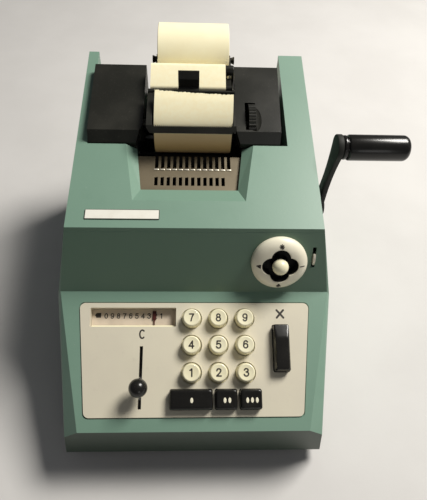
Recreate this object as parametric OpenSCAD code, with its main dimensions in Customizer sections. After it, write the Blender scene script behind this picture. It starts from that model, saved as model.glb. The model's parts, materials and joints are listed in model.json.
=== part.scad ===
// Ten-key hand-cranked adding machine with a paper roll and a printing window.
// Millimetres. +Z is up, +Y points to the back, +X to the crank's side.
// The origin is the centre of the base plate's underside.

/* [Housing] */
// Length of the housing from the front lip to the back
body_len = 285; // [275:1:345]
// Width of the housing across the bottom of its sides
body_w = 209; // [203:1:252]
// Wall of the housing shells
wall = 2.4; // [1.8:0.1:3.2]
// Slope of the top cover
cover_pitch = 11.5; // [9:0.5:13]
// Slope of the riser that carries the selector dial
riser_pitch = 66.5; // [60:0.5:72]
// Length of the riser along its slope
riser_len = 53; // [50:0.5:60]
// Slope of the keyboard deck
deck_pitch = 21.7; // [18:0.1:24]
// Length of the keyboard deck along its slope
deck_len = 99.3; // [98:0.5:110]
// Height of the front lip
lip_h = 39; // [36:1:48]
// How far the front lip leans out at its foot
lip_lean = 1.5; // [0.5:0.5:4]
// Height of the housing's lower edge above the base plate's underside
base_gap = 3; // [2:0.5:5]
// Draw-in of each side at the top cover
cover_inset = 12.7; // [10:0.1:14]
// Draw-in of each side at the riser's foot
riser_inset = 4; // [3:0.1:6]
// Draw-in of each side at the crease below the riser's foot
crease_inset = 1.7; // [1:0.1:2.5]
// Depth of the side crease below the riser's foot
crease_drop = 3.2; // [2:0.1:6]
// Draw-in of the deck's front corners
deck_inset = 23.3; // [20:0.1:26]
// Draw-in of the lip's upper corners
corner_inset = 13; // [11:0.1:15]
// Drop of the lip's upper corners below the deck
corner_drop = 8.8; // [6:0.1:12]
// Draw-in of the lip's foot
front_inset = 8.8; // [7:0.1:10]
// Gap in the seam between two shells
seam = 0.2; // [0.1:0.05:0.3]

/* [Base] */
// Thickness of the base plate
plate_t = 1.6; // [1.2:0.1:2.5]
// Height of the base plate's turned-up rim
rim_h = 12; // [8:1:16]
// Radius of each rubber foot at the top
foot_r = 10; // [8:0.5:13]
// Height of each rubber foot
foot_h = 9; // [7:0.5:12]
// Depth of the pocket that each foot sits in
foot_pocket = 0.6; // [0.4:0.1:0.8]
// Distance of the feet from the base plate's edges
foot_edge = 16; // [14:1:24]
// Radius of the foot screws' shanks
screw_r = 2; // [1.5:0.1:2.5]

/* [Keyboard panel] */
// Width of the panel at its upper edge
panel_top_w = 171; // [168:0.5:174]
// Width of the panel at its lower edge
panel_bottom_w = 154.6; // [152:0.5:157]
// Distance of the panel's upper edge from the riser's foot
panel_top_s = 8.8; // [8:0.1:10]
// Length of the panel down the deck
panel_len = 80.9; // [79:0.1:82]
// Thickness of the panel
panel_t = 2; // [1.5:0.1:2.2]
// How far the panel stands above the deck
panel_proud = 0.8; // [0.4:0.1:1]
// Width of the ledge that the panel lies on
ledge_w = 2; // [1:0.1:2]
// Radius of the panel's corners
panel_corner = 4; // [2:0.5:6]
// Gap round the panel
panel_gap = 0.7; // [0.4:0.1:1]

/* [Keys] */
// Spacing of the digit keys
key_pitch = 19.5; // [19:0.1:20]
// Diameter of a digit key
key_d = 13.8; // [12.5:0.1:14.2]
// Height of a key above the panel
key_rise = 7; // [5.5:0.1:8]
// Travel of a key
key_travel = 4.5; // [3:0.1:5]
// Distance of the key columns' centre from the middle of the machine
keys_x = 16.9; // [15:0.1:18]
// Distance of the upper key row from the riser's foot
keys_s = 20.6; // [20:0.1:21.5]
// Radius of a key's stem
stem_r = 2; // [1.5:0.1:2.2]
// Length of a key's stem below the panel
stem_len = 24; // [22:0.5:26]
// Gap between a black key and its hole in the panel
key_gap = 0.45; // [0.3:0.05:0.5]
// Gap between a digit key and its hole in the panel
hole_gap = 0.8; // [0.4:0.05:0.9]
// Radial running clearance of a stem or a rod in its guide
run_gap = 0.05; // [0.03:0.01:0.09]
// Length of the black zero keys down the deck
zero_len = 13.5; // [12:0.1:14]
// Width of the single zero key
zero_w = 29.8; // [28:0.1:31]
// Width of the double and the triple zero key
zeros_w = 15.2; // [14.5:0.1:15.6]
// Gap between two zero keys
zero_gap = 2.3; // [1.8:0.1:2.6]
// Distance of the zero keys' centre line from the riser's foot
zero_s = 77.8; // [77:0.1:78.5]
// Width of the multiplication key
times_w = 11.4; // [10:0.1:12.5]
// Length of the multiplication key
times_len = 33.5; // [30:0.1:35]
// Distance of the multiplication key from the middle of the machine
times_x = 62.9; // [62:0.1:64]
// Distance of the multiplication key's centre from the riser's foot
times_s = 42.2; // [41:0.1:43]

/* [Window and correction lever] */
// Width of the column window
window_w = 63.1; // [60:0.1:64]
// Length of the column window down the deck
window_len = 14; // [12:0.1:15]
// Distance of the window's centre from the middle of the machine
window_x = -45.7; // [-47:0.1:-44.5]
// Distance of the window's centre from the riser's foot
window_s = 19.4; // [19:0.1:20]
// Depth of the digit scale below the deck
scale_depth = 6; // [5:0.1:7]
// Spacing of the digits on the scale
digit_pitch = 4.5; // [4.2:0.1:4.8]
// Distance of the correction slot from the middle of the machine
slot_x = -38.9; // [-41:0.1:-37]
// Upper end of the correction slot, from the riser's foot
slot_top_s = 40.6; // [39:0.1:42]
// Lower end of the correction slot, from the riser's foot
slot_end_s = 84.2; // [83:0.1:85]
// Width of the correction slot
slot_w = 2.4; // [2.2:0.1:3]
// Place of the correction lever at rest, from the riser's foot
lever_s = 70; // [66:0.5:72]
// Radius of the correction lever's ball
ball_r = 6.5; // [5.5:0.1:7.5]
// Height of the ball's centre above the deck
ball_h = 13.5; // [12:0.5:15]

/* [Selector] */
// Distance of the selector dial from the middle of the machine
dial_x = 61.1; // [60:0.1:64]
// Distance of the dial's centre down the riser
dial_s = 26.4; // [25:0.1:28]
// Radius of the dial
dial_r = 20.5; // [19.5:0.1:21.5]
// Height of the dial at its clover opening
dial_h = 8.8; // [8:0.1:9.4]
// Height of the dial at its edge
dial_edge = 3.4; // [2.5:0.1:4.5]
// Radius of each lobe of the dial's clover opening
lobe_r = 7; // [6.9:0.1:7.2]
// Distance of each lobe from the dial's centre
lobe_off = 6.3; // [6.2:0.1:6.8]
// Radius of the selector's knob
knob_r = 5.9; // [5.4:0.1:6]
// Height of the knob's centre above the riser
knob_h = 8.4; // [8.2:0.1:9]
// Depth of the gimbal's axes below the riser
gimbal_depth = 10; // [9:0.5:11]
// Distance of the small lever's slot from the middle of the machine
tab_x = 86.7; // [86:0.1:88]
// Distance of the small lever's slot down the riser
tab_s = 23.2; // [22:0.1:24]

/* [Top cover] */
// Width of the left rail beside the printer
left_rail_w = 8.4; // [7:0.1:10]
// Width of the right rail beside the printer
right_rail_w = 20.5; // [18:0.1:22]
// Distance of the printer bay from the cover's front edge
bay_s = 74; // [72:0.5:76]
// Depth of the chamfers round the printing window
notch_depth = 6; // [4:0.5:7]
// Height of the rails' inner walls
rail_wall_h = 30; // [24:1:32]

/* [Printer covers] */
// Height of the black covers above the top cover
hood_h = 8; // [7:0.1:9]
// Distance of the black covers' back from the top cover's front edge
hood_back_s = 150; // [146:0.5:154]
// Width of the gap beside the right black cover
hood_gap = 3; // [2:0.1:4]
// Inner edge of the left black cover
hood_left_x = -41.2; // [-42:0.1:-40.5]
// Inner edge of the right black cover
hood_right_x = 31; // [30.7:0.1:32]
// How far the right black cover's inner edge flares out at the front
hood_flare = 3.4; // [2:0.1:4]

/* [Paper path] */
// Width of the paper
paper_w = 59; // [57:0.5:60]
// Thickness of the paper web as modelled
paper_t = 0.4; // [0.3:0.05:0.5]
// Middle of the paper, from the middle of the machine
paper_x = -2.5; // [-3:0.1:-2]
// Radius of the platen
platen_r = 22; // [20:0.1:22.3]
// Distance of the platen's axis behind the cover's front edge
platen_back = 95; // [94.5:0.5:96]
// Height of the platen's axis above the cover's front edge
platen_up = 17.6; // [17:0.1:19]
// Radius of the platen's shaft
platen_shaft_r = 3; // [2.5:0.1:3.2]
// Radius of the paper roll
roll_r = 29.4; // [18:0.1:30]
// Radius of the hole in the paper roll
core_r = 9; // [8:0.5:10]
// Radius of the thumbwheel
wheel_r = 15.7; // [15.2:0.1:16.4]
// Width of the thumbwheel
wheel_w = 5.3; // [4.5:0.1:6]

/* [Drive] */
// Radius of the main shaft
shaft_r = 4; // [3.5:0.1:4.5]
// Radius of the crank's grip
grip_r = 9.8; // [8.5:0.1:11]
// Length of the crank's grip
grip_len = 53.5; // [46:0.5:60]
// Length of the crank from the shaft to the grip
crank_len = 73.2; // [68:0.5:78]
// Lean of the crank towards the front at rest
crank_lean = 6; // [0:1:10]
// Thickness of the crank's arm
crank_t = 4.5; // [4:0.1:6]
// Module of the drive gears
gear_m = 1.5; // [1.4:0.1:1.6]
// Teeth of the full circle that the drive sector is cut from
sector_teeth = 48; // [44:2:50]
// Teeth of the pinion
pinion_teeth = 24; // [20:2:26]
// Thickness of the drive gears
gear_t = 5; // [4:0.5:6]

/* [Type] */
// Number of type bars
columns = 13; // [10:1:13]
// Spacing of the type bars
column_pitch = 4.66; // [4.5:0.01:4.8]
// Lift of the type bars
type_lift = 14.4; // [14:0.1:14.8]

/* [Hidden] */
$fn = 64;

// Colours of the finishes
teal = [0.56, 0.69, 0.62];
black_paint = [0.12, 0.12, 0.10];
black_plastic = [0.08, 0.08, 0.07];
ivory = [0.94, 0.92, 0.74];
panel_cream = [0.80, 0.77, 0.67];
steel = [0.66, 0.66, 0.64];
khaki = [0.59, 0.54, 0.45];
rubber = [0.10, 0.10, 0.10];
paper_cream = [0.98, 0.95, 0.80];
brass = [0.75, 0.62, 0.35];

// Side profile of the housing, from the front lip to the back
half_w = body_w / 2;
lip_y = -body_len / 2;
deck_y = lip_y + lip_lean;
deck_z = base_gap + lip_h;
riser_y = deck_y + deck_len * cos(deck_pitch);
riser_z = deck_z + deck_len * sin(deck_pitch);
cover_y = riser_y + riser_len * cos(riser_pitch);
cover_z = riser_z + riser_len * sin(riser_pitch);
back_y = body_len / 2;
cover_run = back_y - cover_y;
cover_len = cover_run / cos(cover_pitch);
back_z = cover_z + cover_run * tan(cover_pitch);

// Half widths of the housing at its edges
cover_hw = half_w - cover_inset;
riser_hw = half_w - riser_inset;
crease_hw = half_w - crease_inset;
deck_hw = half_w - deck_inset;
corner_hw = half_w - corner_inset;
front_hw = half_w - front_inset;
crease_z = riser_z - crease_drop;
back_crease_z = back_z - (cover_z - crease_z);
bay_left = -cover_hw + left_rail_w;
bay_right = cover_hw - right_rail_w;
bay_floor_z = cover_z - 5;
hood_seat_y = cover_y + hood_back_s * cos(cover_pitch);

// Depths below the deck, measured square to it
panel_top = panel_proud;
panel_under = panel_proud - panel_t;
lens_t = 1.2;
guide_t = 1.5;
guide_top = -11.5;
guide_under = guide_top - guide_t;
guide_top_s = 6;
guide_end_s = 93.6;
guide_hw = 72;
seat_gap = 0.3;
collar_t = 1.5;
rods_z = -42;
rod_s = [24, 38];
rod_r = 2.5;
carriage_w = 60;
carriage_x = -10;
carriage_top = -33;
carriage_under = -48;
lug_x = 88;
pointer_x = window_x + 15.1;
pointer_y = 0.7 - window_len / 2;
pointer_t = 0.8;

// Printer: the platen, the bars that guide the paper and the roll
platen_y = cover_y + platen_back;
platen_z = cover_z + platen_up;
bar_r = 4;
bar_y = cover_y + 130.3;
bar_z = cover_z + 43.3;
edge_r = 2.2;
edge_y = platen_y + 17.8;
edge_z = platen_z + 20.7;
roll_y = cover_y + 171.5;
roll_z = cover_z + 28.1;
roll_clear = 0.3;
left_x = paper_x - paper_w / 2;
right_x = paper_x + paper_w / 2;
tear_y = cover_y + 72;
tear_z = cover_z + 33.2;
arm_t = 1.6;
arm_off = 31.5;
cheek_in = paper_w / 2 + 1.2;
cheek_t = 1.5;
rail_in = paper_w / 2 + 0.8;
rail_out = paper_w / 2 + 5.2;
rod_at = [platen_y + 10, platen_z + 22.4];
thin_rod_r = 1.2;

// Side frames of the mechanism
frame_t = 2;
frame_left_x = -48.5;
frame_right_x = 36.5;
frame_gap = 0.2;
frame_front = cover_y + 7.6;
frame_back = hood_seat_y - wall - 1;
frame_foot_z = plate_t + frame_gap;
wheel_x = 40.8;

type_y = cover_y + 62.2;
// Drive: the main shaft, the crank and the cam shaft
hub_y = cover_y + 71;
hub_z = cover_z - 51;
grip_y = hub_y - crank_len * sin(crank_lean);
grip_z = hub_z + crank_len * cos(crank_lean);
crank_x = crease_hw + 2.7;
grip_x = crank_x + crank_t + 0.4;
pin_r = 3;
sector_r = gear_m * sector_teeth / 2;
pinion_r = gear_m * pinion_teeth / 2;
cam_y = type_y;
mesh_angle = -acos((cam_y - hub_y) / (sector_r + pinion_r));
cam_z = hub_z + (sector_r + pinion_r) * sin(mesh_angle);
cam_shaft_r = 3.5;
gear_x = frame_left_x + frame_t + 2;
bush_wall = 2;

// Type bars and the plate that they stand in
comb_off = -9;
comb_t = 1.2;
comb_s = [30, 69.5];
slot_s = [58, 69.6];
slot_cut = 2.6;
low_slot_s = [42.2, 49.8];
type_deep = 6;
type_t = 1.4;
type_top = cover_z - 2;
feed_r = 5;
feed_angle = 260;
feed_dist = platen_r + 2 * roll_clear + paper_t + feed_r;
feed_y = platen_y + feed_dist * cos(feed_angle);
feed_z = platen_z + feed_dist * sin(feed_angle);
ink_r = 5.5;
ink_y = cover_y + 78;
ink_z = cover_z - 7;
axle_r = 1.5;
tie_r = 3;
tie_places = [
    [cover_y + 19.6, frame_foot_z + 22.2], [cover_y + 133.6, frame_foot_z + 22.2],
    [cover_y + 23.6, cover_z - 31.3], [cover_y + 133.6, cover_z - 27.3]
];

// Puts a shape on the deck: x across, y up the slope from the riser's foot, z square to the deck
module on_deck() translate([0, riser_y, riser_z]) rotate([deck_pitch, 0, 0]) children();
// Puts a shape on the riser, y up the slope from the cover's front edge
module on_riser() translate([0, cover_y, cover_z]) rotate([riser_pitch, 0, 0]) children();
// Puts a shape on the top cover, y back up the slope from its front edge
module on_cover() translate([0, cover_y, cover_z]) rotate([cover_pitch, 0, 0]) children();
// Extrudes a side view, drawn as (y, z), from x0 to x1
module across(x0, x1) translate([x0, 0, 0]) rotate([90, 0, 90]) linear_extrude(x1 - x0) children();
// A round bar along X
module bar(x0, x1, r, y, z) translate([x0, y, z]) rotate([0, 90, 0]) cylinder(r = r, h = x1 - x0);
// A box given by its two corners
module block(a, b) translate(a) cube(b - a);
// A circle about a point of a side view
module circle_at(p, r) translate(p) circle(r = r);
// The convex solid round a list of points
module solid_round(points) hull() polyhedron(points, [[for (i = [0:len(points) - 1]) i]]);
// A 2D line of the paper's thickness through a list of points
module thick_line(points, t) {
    for (i = [0:len(points) - 2]) hull() {
        translate(points[i]) circle(d = t, $fn = 8);
        translate(points[i + 1]) circle(d = t, $fn = 8);
    }
}

function both(points) = [for (p = points) for (side = [-1, 1]) [side * p.x, p.y, p.z]];
function arc(centre, r, from, to, steps) =
    [for (i = [0:steps]) let(a = from + (to - from) * i / steps) centre + r * [cos(a), sin(a)]];
function polar(r, a) = [r * cos(a), r * sin(a)];
function mix(a, b, f) = a + (b - a) * f;

// Corners of the housing's right half, drawn in by t: the keyboard part
function front_corners(t) = [
    [front_hw - t, lip_y + t, base_gap - t],
    [corner_hw - t, deck_y + t, deck_z - corner_drop - t],
    [deck_hw - t / 2, deck_y + t, deck_z + t * tan(deck_pitch) - t / cos(deck_pitch)],
    [riser_hw - t, riser_y, riser_z - t / cos(deck_pitch)],
    [crease_hw - t, riser_y, crease_z - t],
    [half_w - t, riser_y, base_gap - t],
    [riser_hw - t, riser_y + 2, riser_z - t / cos(deck_pitch)],
    [crease_hw - t, riser_y + 2, crease_z - t],
    [half_w - t, riser_y + 2, base_gap - t]
];

// Corners of the housing's right half, drawn in by t: the part under the top cover
function rear_corners(t) = [
    [riser_hw - t, riser_y + t * 0.62, riser_z - t / cos(deck_pitch)],
    [crease_hw - t, riser_y + t * 0.5, crease_z - t],
    [half_w - t, riser_y + t * 0.5, base_gap - t],
    [cover_hw - t, cover_y + t * 1.1, cover_z],
    [cover_hw - t, back_y - t, back_z],
    [crease_hw - t, back_y - t, back_crease_z - t],
    [half_w - t, back_y - t, base_gap - t]
];

// The space inside the top cover's slab, from depth d downwards and drawn in by t
module cover_slab(t, d, h) {
    on_cover() translate([-cover_hw * 1.2, -30, -d - h]) cube([cover_hw * 2.4, cover_len + 60, h]);
}

// Base plate: a pressed tray with lugs for the carriage's rods
function base_outline(t) = [
    [front_hw - t - 1.4, lip_y + t], [half_w - t, riser_y], [half_w - t, back_y - t],
    [-(half_w - t), back_y - t], [-(half_w - t), riser_y], [-(front_hw - t - 1.4), lip_y + t]
];
base_inset = wall + 0.8;
foot_y = [lip_y + base_inset + foot_edge, back_y - base_inset - foot_edge];
foot_x = [front_hw - base_inset - foot_edge, half_w - base_inset - foot_edge];
foot_places = [for (i = [0:1]) for (side = [-1, 1]) [side * foot_x[i], foot_y[i]]];

function deck_point(s, z) = [riser_y - s * cos(deck_pitch) - z * sin(deck_pitch),
    riser_z - s * sin(deck_pitch) + z * cos(deck_pitch)];

module base_plate() color(steel) difference() {
    union() {
        difference() {
            linear_extrude(rim_h) offset(r = 4) offset(delta = -4) polygon(base_outline(base_inset));
            translate([0, 0, plate_t]) linear_extrude(rim_h)
                offset(r = 3) offset(delta = -3) polygon(base_outline(base_inset + plate_t));
        }
        for (side = [-1, 1]) across(side * lug_x - plate_t / 2, side * lug_x + plate_t / 2) hull() {
            for (s = rod_s) translate(deck_point(s, rods_z)) circle(r = rod_r + 3.5);
            for (s = rod_s) translate([deck_point(s, rods_z).x - 4, plate_t / 2]) square([8, 1]);
        }
    }
    for (p = foot_places) translate([p.x, p.y, -1]) {
        cylinder(r = screw_r + 0.3, h = rim_h);
        cylinder(r = foot_r + 0.4, h = 1 + foot_pocket);
    }
    on_deck() for (s = rod_s) bar(-lug_x - 5, lug_x + 5, rod_r + 0.02, -s, rods_z);
    for (i = [-4:4]) translate([i * 15 - 2.5, back_y - 70, -1]) cube([5, 34, plate_t + 2]);
}

module rubber_feet() color(rubber) for (p = foot_places) translate([p.x, p.y, -foot_h])
    rotate_extrude() polygon([
        [screw_r + 0.3, 5], [screw_r + 2.6, 5], [screw_r + 2.6, 0], [foot_r - 2.5, 0],
        [foot_r - 1.6, 0.9], [foot_r, foot_h], [foot_r, foot_h + foot_pocket], [screw_r + 0.3, foot_h + foot_pocket]
    ]);

module foot_screws() color(steel) for (p = foot_places) translate([p.x, p.y, -foot_h + 2]) {
    cylinder(r = screw_r + 2, h = 3);
    cylinder(r = screw_r, h = foot_h + plate_t + 4);
    translate([0, 0, foot_h - 2 + plate_t]) cylinder(r = 4, h = 3, $fn = 6);
}

// Lower housing: lip, deck, riser and sides in one shell
module housing_mass(t) {
    solid_round(both(front_corners(t)));
    solid_round(both(rear_corners(t)));
}

module panel_outline(grow) {
    top_hw = panel_top_w / 2 + grow;
    end_hw = panel_bottom_w / 2 + grow;
    offset(r = panel_corner) offset(delta = -panel_corner) polygon([
        [-top_hw, -panel_top_s + grow], [top_hw, -panel_top_s + grow],
        [end_hw, -panel_top_s - panel_len - grow], [-end_hw, -panel_top_s - panel_len - grow]
    ]);
}

module lower_housing() color(teal) {
    difference() {
        union() {
            difference() {
                housing_mass(0);
                housing_mass(wall);
                on_cover() translate([-body_w, -60, -wall - seam]) cube([2 * body_w, body_len + 60, 80]);
            }
            bay_floor();
        }
        // Seat and opening of the keyboard panel
        on_deck() translate([0, 0, panel_under]) linear_extrude(10) panel_outline(panel_gap);
        on_deck() translate([0, 0, -15]) linear_extrude(20) panel_outline(-ledge_w);
        // Hole behind the selector dial and slot of the small lever
        on_riser() translate([dial_x, -dial_s, -6]) cylinder(r = cup_r + 0.3, h = 12);
        on_riser() translate([tab_x - 1.4, -tab_s - 8.5, -6]) cube([2.8, 17, 12]);
        // Passage of the main shaft through the right side
        bar(half_w - 20, half_w + 5, shaft_r + 2, hub_y, hub_z);
        // Open back of the paper bay
        translate([bay_left - seam, hood_seat_y, bay_floor_z])
            cube([bay_right - bay_left + 2 * seam, body_len, 80]);
    }
    // Ears that carry the small lever's pin
    on_riser() for (x = [tab_x - 5, tab_x + 3]) translate([x, -tab_s, 0]) difference() {
        translate([0, -4, -tab_depth - 3.5]) cube([2, 8, tab_depth + 3.5 - wall + 0.2]);
        translate([-1, 0, -tab_depth]) rotate([0, 90, 0]) cylinder(r = tab_pin_r + run_gap, h = 4);
    }
}
cup_r = 15.6;
tab_depth = 7;
tab_pin_r = 1.5;

// Floor and front wall of the open bay behind the printer
module bay_floor() intersection() {
    solid_round(both(rear_corners(wall / 2)));
    translate([bay_left - 3, hood_seat_y - wall, bay_floor_z - 14])
        cube([bay_right - bay_left + 6, body_len, 14]);
    difference() {
        translate([-body_w, 0, 0]) cube([2 * body_w, body_len, bay_floor_z]);
        translate([bay_left, hood_seat_y, bay_floor_z - 14 - wall])
            cube([bay_right - bay_left, body_len, 14]);
    }
}

// Top cover: sloped slab with a chamfered printing window and two rails
notch_x = -4.8;
notch_front_s = 22.5;
notch_front_hw = 41.3;
notch_rear_hw = 49.4;
notch_in_s = 36.3;
notch_in_hw = 36.3;
notch_in_rear_hw = 40.8;

function notch_top(grow, s1, z) = [
    [notch_x - notch_front_hw - grow, notch_front_s - grow, z],
    [notch_x + notch_front_hw + grow, notch_front_s - grow, z],
    [notch_x - notch_rear_hw - grow, s1, z], [notch_x + notch_rear_hw + grow, s1, z]
];
function notch_low(grow, s1, z) = [
    [notch_x - notch_in_hw - grow, notch_in_s - grow, z],
    [notch_x + notch_in_hw + grow, notch_in_s - grow, z],
    [notch_x - notch_in_rear_hw - grow, s1, z], [notch_x + notch_in_rear_hw + grow, s1, z]
];

module top_cover() color(teal) difference() {
    union() {
        difference() {
            solid_round(both(rear_corners(0)));
            on_cover() translate([-body_w, -body_len, -wall - body_len]) cube([2 * body_w, 3 * body_len, body_len]);
        }
        // Sloping walls of the printing window
        on_cover() solid_round(concat(notch_top(wall, bay_s, -0.1), notch_low(wall, bay_s, -notch_depth)));
        // Inner walls of the two rails
        intersection() {
            on_cover() for (x = [bay_left - wall, bay_right])
                translate([x, bay_s, -rail_wall_h]) cube([wall, cover_len, rail_wall_h - wall / 2]);
            solid_round(both(rear_corners(wall + 0.3)));
        }
    }
    on_cover() {
        solid_round(concat(notch_top(0, bay_s + 0.1, 0.1), notch_low(0, bay_s + 0.1, -notch_depth - 0.1)));
        solid_round([for (p = concat(notch_top(0, bay_s + 1, 0), notch_top(0, bay_s + 1, 5))) p]);
        translate([bay_left, bay_s, -60]) cube([bay_right - bay_left, body_len, 100]);
    }
}

// Black covers over the printer: a top, a front bevel and walls down to the bay
function hood_outline(h, rear_z) = [
    cover_line(bay_s + 1, -h), cover_line(bay_s + 1, 0.5), cover_line(bay_s + 7, hood_h),
    cover_line(hood_back_s, hood_h), [hood_seat_y, cover_line(hood_back_s, hood_h).y - 1],
    [hood_seat_y, rear_z], [hood_seat_y - 8, rear_z]
];

module hood_shell(x0, x1) difference() {
    across(x0, x1) polygon(hood_outline(4, bay_floor_z + seat_gap));
    across(x0 + hood_t, x1 - hood_t) offset(delta = -hood_t) polygon(hood_outline(60, bay_floor_z - 60));
}
hood_t = 1.8;

module print_cover_left() color(black_paint) difference() {
    hood_shell(bay_left + 0.4, hood_left_x);
    // Corner cut away beside the printing window
    on_cover() translate([0, 0, -20]) linear_extrude(40) polygon([
        [hood_left_x + 1, bay_s - 5], [hood_left_x - 8, bay_s - 5], [hood_left_x + 1, bay_s + 14.1]
    ]);
    bar(hood_left_x - 3, hood_left_x + 1, platen_shaft_r + 2, platen_y, platen_z);
}

module print_cover_right() color(black_paint) difference() {
    hood_shell(hood_right_x, bay_right - hood_gap);
    // Front corner that flares away from the printing window
    on_cover() translate([0, 0, -20]) linear_extrude(40) polygon([
        [hood_right_x - 1, bay_s + 9], [hood_right_x + hood_flare, bay_s + 1], [hood_right_x + hood_flare, bay_s - 5], [hood_right_x - 1, bay_s - 5]
    ]);
    // Slot of the thumbwheel and the dished place for a fingertip beside it
    bar(wheel_x - 2.4, wheel_x + wheel_w + 0.6, wheel_r + 1.2, platen_y, platen_z);
    on_cover() translate([wheel_x + wheel_w - 0.3, platen_back - 1.7, hood_h + 0.07]) scale([5.2, 12, 1.2]) sphere(r = 1, $fn = 32);
    bar(hood_right_x - 1, hood_right_x + 3, platen_shaft_r + 2, platen_y, platen_z);
}

// Keyboard panel with its openings
function key_place(i) = [keys_x + ((i - 1) % 3 - 1) * key_pitch, -keys_s - (2 - floor((i - 1) / 3)) * key_pitch];
zero_x0 = keys_x - key_pitch - zero_w / 2;
zero_places = [
    [zero_x0 + zero_w / 2, zero_w],
    [zero_x0 + zero_w + zero_gap + zeros_w / 2, zeros_w],
    [zero_x0 + zero_w + 2 * zero_gap + 1.5 * zeros_w, zeros_w]
];

module pad(w, l, r) offset(r = r, $fn = 24) square([w - 2 * r, l - 2 * r], center = true);

module keypad_panel() color(panel_cream) on_deck() difference() {
    translate([0, 0, panel_under]) linear_extrude(panel_t) panel_outline(0);
    translate([0, 0, -10]) linear_extrude(20) {
        for (i = [1:9]) translate(key_place(i)) circle(r = key_d / 2 + hole_gap);
        for (z = zero_places) translate([z.x, -zero_s]) pad(z.y + 2 * key_gap, zero_len + 2 * key_gap, 1.5);
        translate([times_x, -times_s]) pad(times_w + 2 * key_gap, times_len + 2 * key_gap, 1.5);
        translate([window_x, -window_s]) pad(window_w, window_len, 0.8);
        translate([slot_x - slot_w / 2, -slot_end_s]) square([slot_w, slot_end_s - slot_top_s]);
    }
}

// Frame of the window: four walls that carry the digit scale under the panel
module window_lens() color(panel_cream) on_deck() translate([window_x, -window_s, 0]) difference() {
    translate([0, 0, -scale_depth - 1]) linear_extrude(scale_depth + 1 + panel_under - 0.1)
        pad(window_w + 2.6, window_len + 2.6, 1);
    translate([0, 0, -scale_depth - 2]) linear_extrude(20) pad(window_w, window_len, 0.8);
}

module digit_scale() color(ivory) on_deck() translate([window_x, -window_s, -scale_depth - 0.8]) difference() {
    linear_extrude(0.8) pad(window_w - 0.3, window_len - 0.3, 0.7);
    // Free edge that the pointer's arm travels along
    translate([-30, -window_len, -1]) cube([57, window_len + pointer_y + pointer_t / 2 + 0.3, 3]);
}

module name_plate() color(ivory) on_cover() translate([-52.2, 10.6, 0.02]) linear_extrude(0.6) pad(52.9, 8.1, 0.8);

// Side frames with the holes of every shaft that they carry
function cover_line(s, off) = [cover_y + s * cos(cover_pitch) - off * sin(cover_pitch),
    cover_z + s * sin(cover_pitch) + off * cos(cover_pitch)];
hood_under = hood_h - hood_t - seat_gap;

module side_frame(x) color(steel) across(x, x + frame_t) difference() {
    polygon([
        [frame_front, frame_foot_z], [frame_front, cover_z - 30], cover_line(34, -13.5), cover_line(76, -13.5),
        cover_line(77.5, -1), cover_line(84, hood_under), cover_line(145, hood_under), [frame_back, bay_floor_z - 16],
        [frame_back, frame_foot_z]
    ]);
    translate([hub_y, hub_z]) circle(r = shaft_r + bush_wall + 0.02);
    translate([cam_y, cam_z]) circle(r = cam_shaft_r + run_gap);
    translate([platen_y, platen_z]) circle(r = platen_shaft_r + run_gap);
    translate([feed_y, feed_z]) circle(r = axle_r + run_gap);
    translate([ink_y, ink_z]) circle(r = axle_r + run_gap);
    for (p = tie_places) translate(p) circle(r = tie_r + 0.02);
    // Lightening windows
    translate([cover_y + 105.6, frame_foot_z + 38]) offset(r = 5) square([24, 34]);
    translate([cover_y + 23.6, frame_foot_z + 44]) offset(r = 4) square([16, 30]);
}
module frame_left() side_frame(frame_left_x);
module frame_right() side_frame(frame_right_x);

module tie_rods() color(steel) for (p = tie_places) {
    bar(frame_left_x - 1, frame_right_x + frame_t + 1, tie_r, p.x, p.y);
}

module shaft_bushes() color(brass) {
    for (x = [frame_left_x - 0.5, frame_right_x - 0.5]) difference() {
        bar(x, x + frame_t + 1, shaft_r + bush_wall, hub_y, hub_z);
        bar(x - 1, x + frame_t + 2, shaft_r + run_gap, hub_y, hub_z);
    }
    difference() {
        union() {
            bar(crease_hw - 8, crease_hw + 1.2, shaft_r + bush_wall - 0.02, hub_y, hub_z);
            bar(crease_hw - 8, crease_hw - 5, shaft_r + bush_wall + 3, hub_y, hub_z);
        }
        bar(crease_hw - 9, crease_hw + 3, shaft_r + run_gap, hub_y, hub_z);
    }
}

// Roll bracket: two arms on the rear tie rod, joined by the guide bar
spindle_r = 2.5;
spindle_hw = paper_w / 2 + 6.1;
module link(a, b, ra, rb) hull() {
    translate(a) circle(r = ra, $fn = 32);
    translate(b) circle(r = rb, $fn = 32);
}
roll_at = [roll_y, roll_z];
elbow = [hood_seat_y - 14, cover_z + 20];

module roll_bracket() color(steel) {
    for (x = [paper_x - arm_off - arm_t / 2, paper_x + arm_off - arm_t / 2]) across(x, x + arm_t) difference() {
        union() {
            link(tie_places[3], elbow, 5, 5);
            link(elbow, roll_at, 5, 4.2);
            link(elbow, [bar_y, bar_z], 5, 3.8);
        }
        translate(tie_places[3]) circle(r = tie_r + 0.02);
        translate(roll_at) circle(r = spindle_r + run_gap);
        translate([roll_y - spindle_r - run_gap, roll_z]) square([2 * (spindle_r + run_gap), 20]);
    }
    bar(paper_x - arm_off, paper_x + arm_off, bar_r, bar_y, bar_z);
}

module roll_spindle() color(steel) {
    bar(paper_x - spindle_hw, paper_x + spindle_hw, spindle_r, roll_y, roll_z);
    // Flared ends outside the arms
    for (side = [-1, 1]) translate([paper_x + side * spindle_hw, roll_y, roll_z]) rotate([0, -side * 90, 0])
        cylinder(r1 = spindle_r + 0.9, r2 = spindle_r - 0.3, h = 3);
    for (side = [-1, 1]) translate([paper_x + side * (paper_w / 2 + 0.4), roll_y, roll_z])
        rotate([0, -side * 90, 0]) cylinder(r1 = core_r + 2, r2 = core_r - 1.5, h = 0.001 + 0.3);
}

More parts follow.
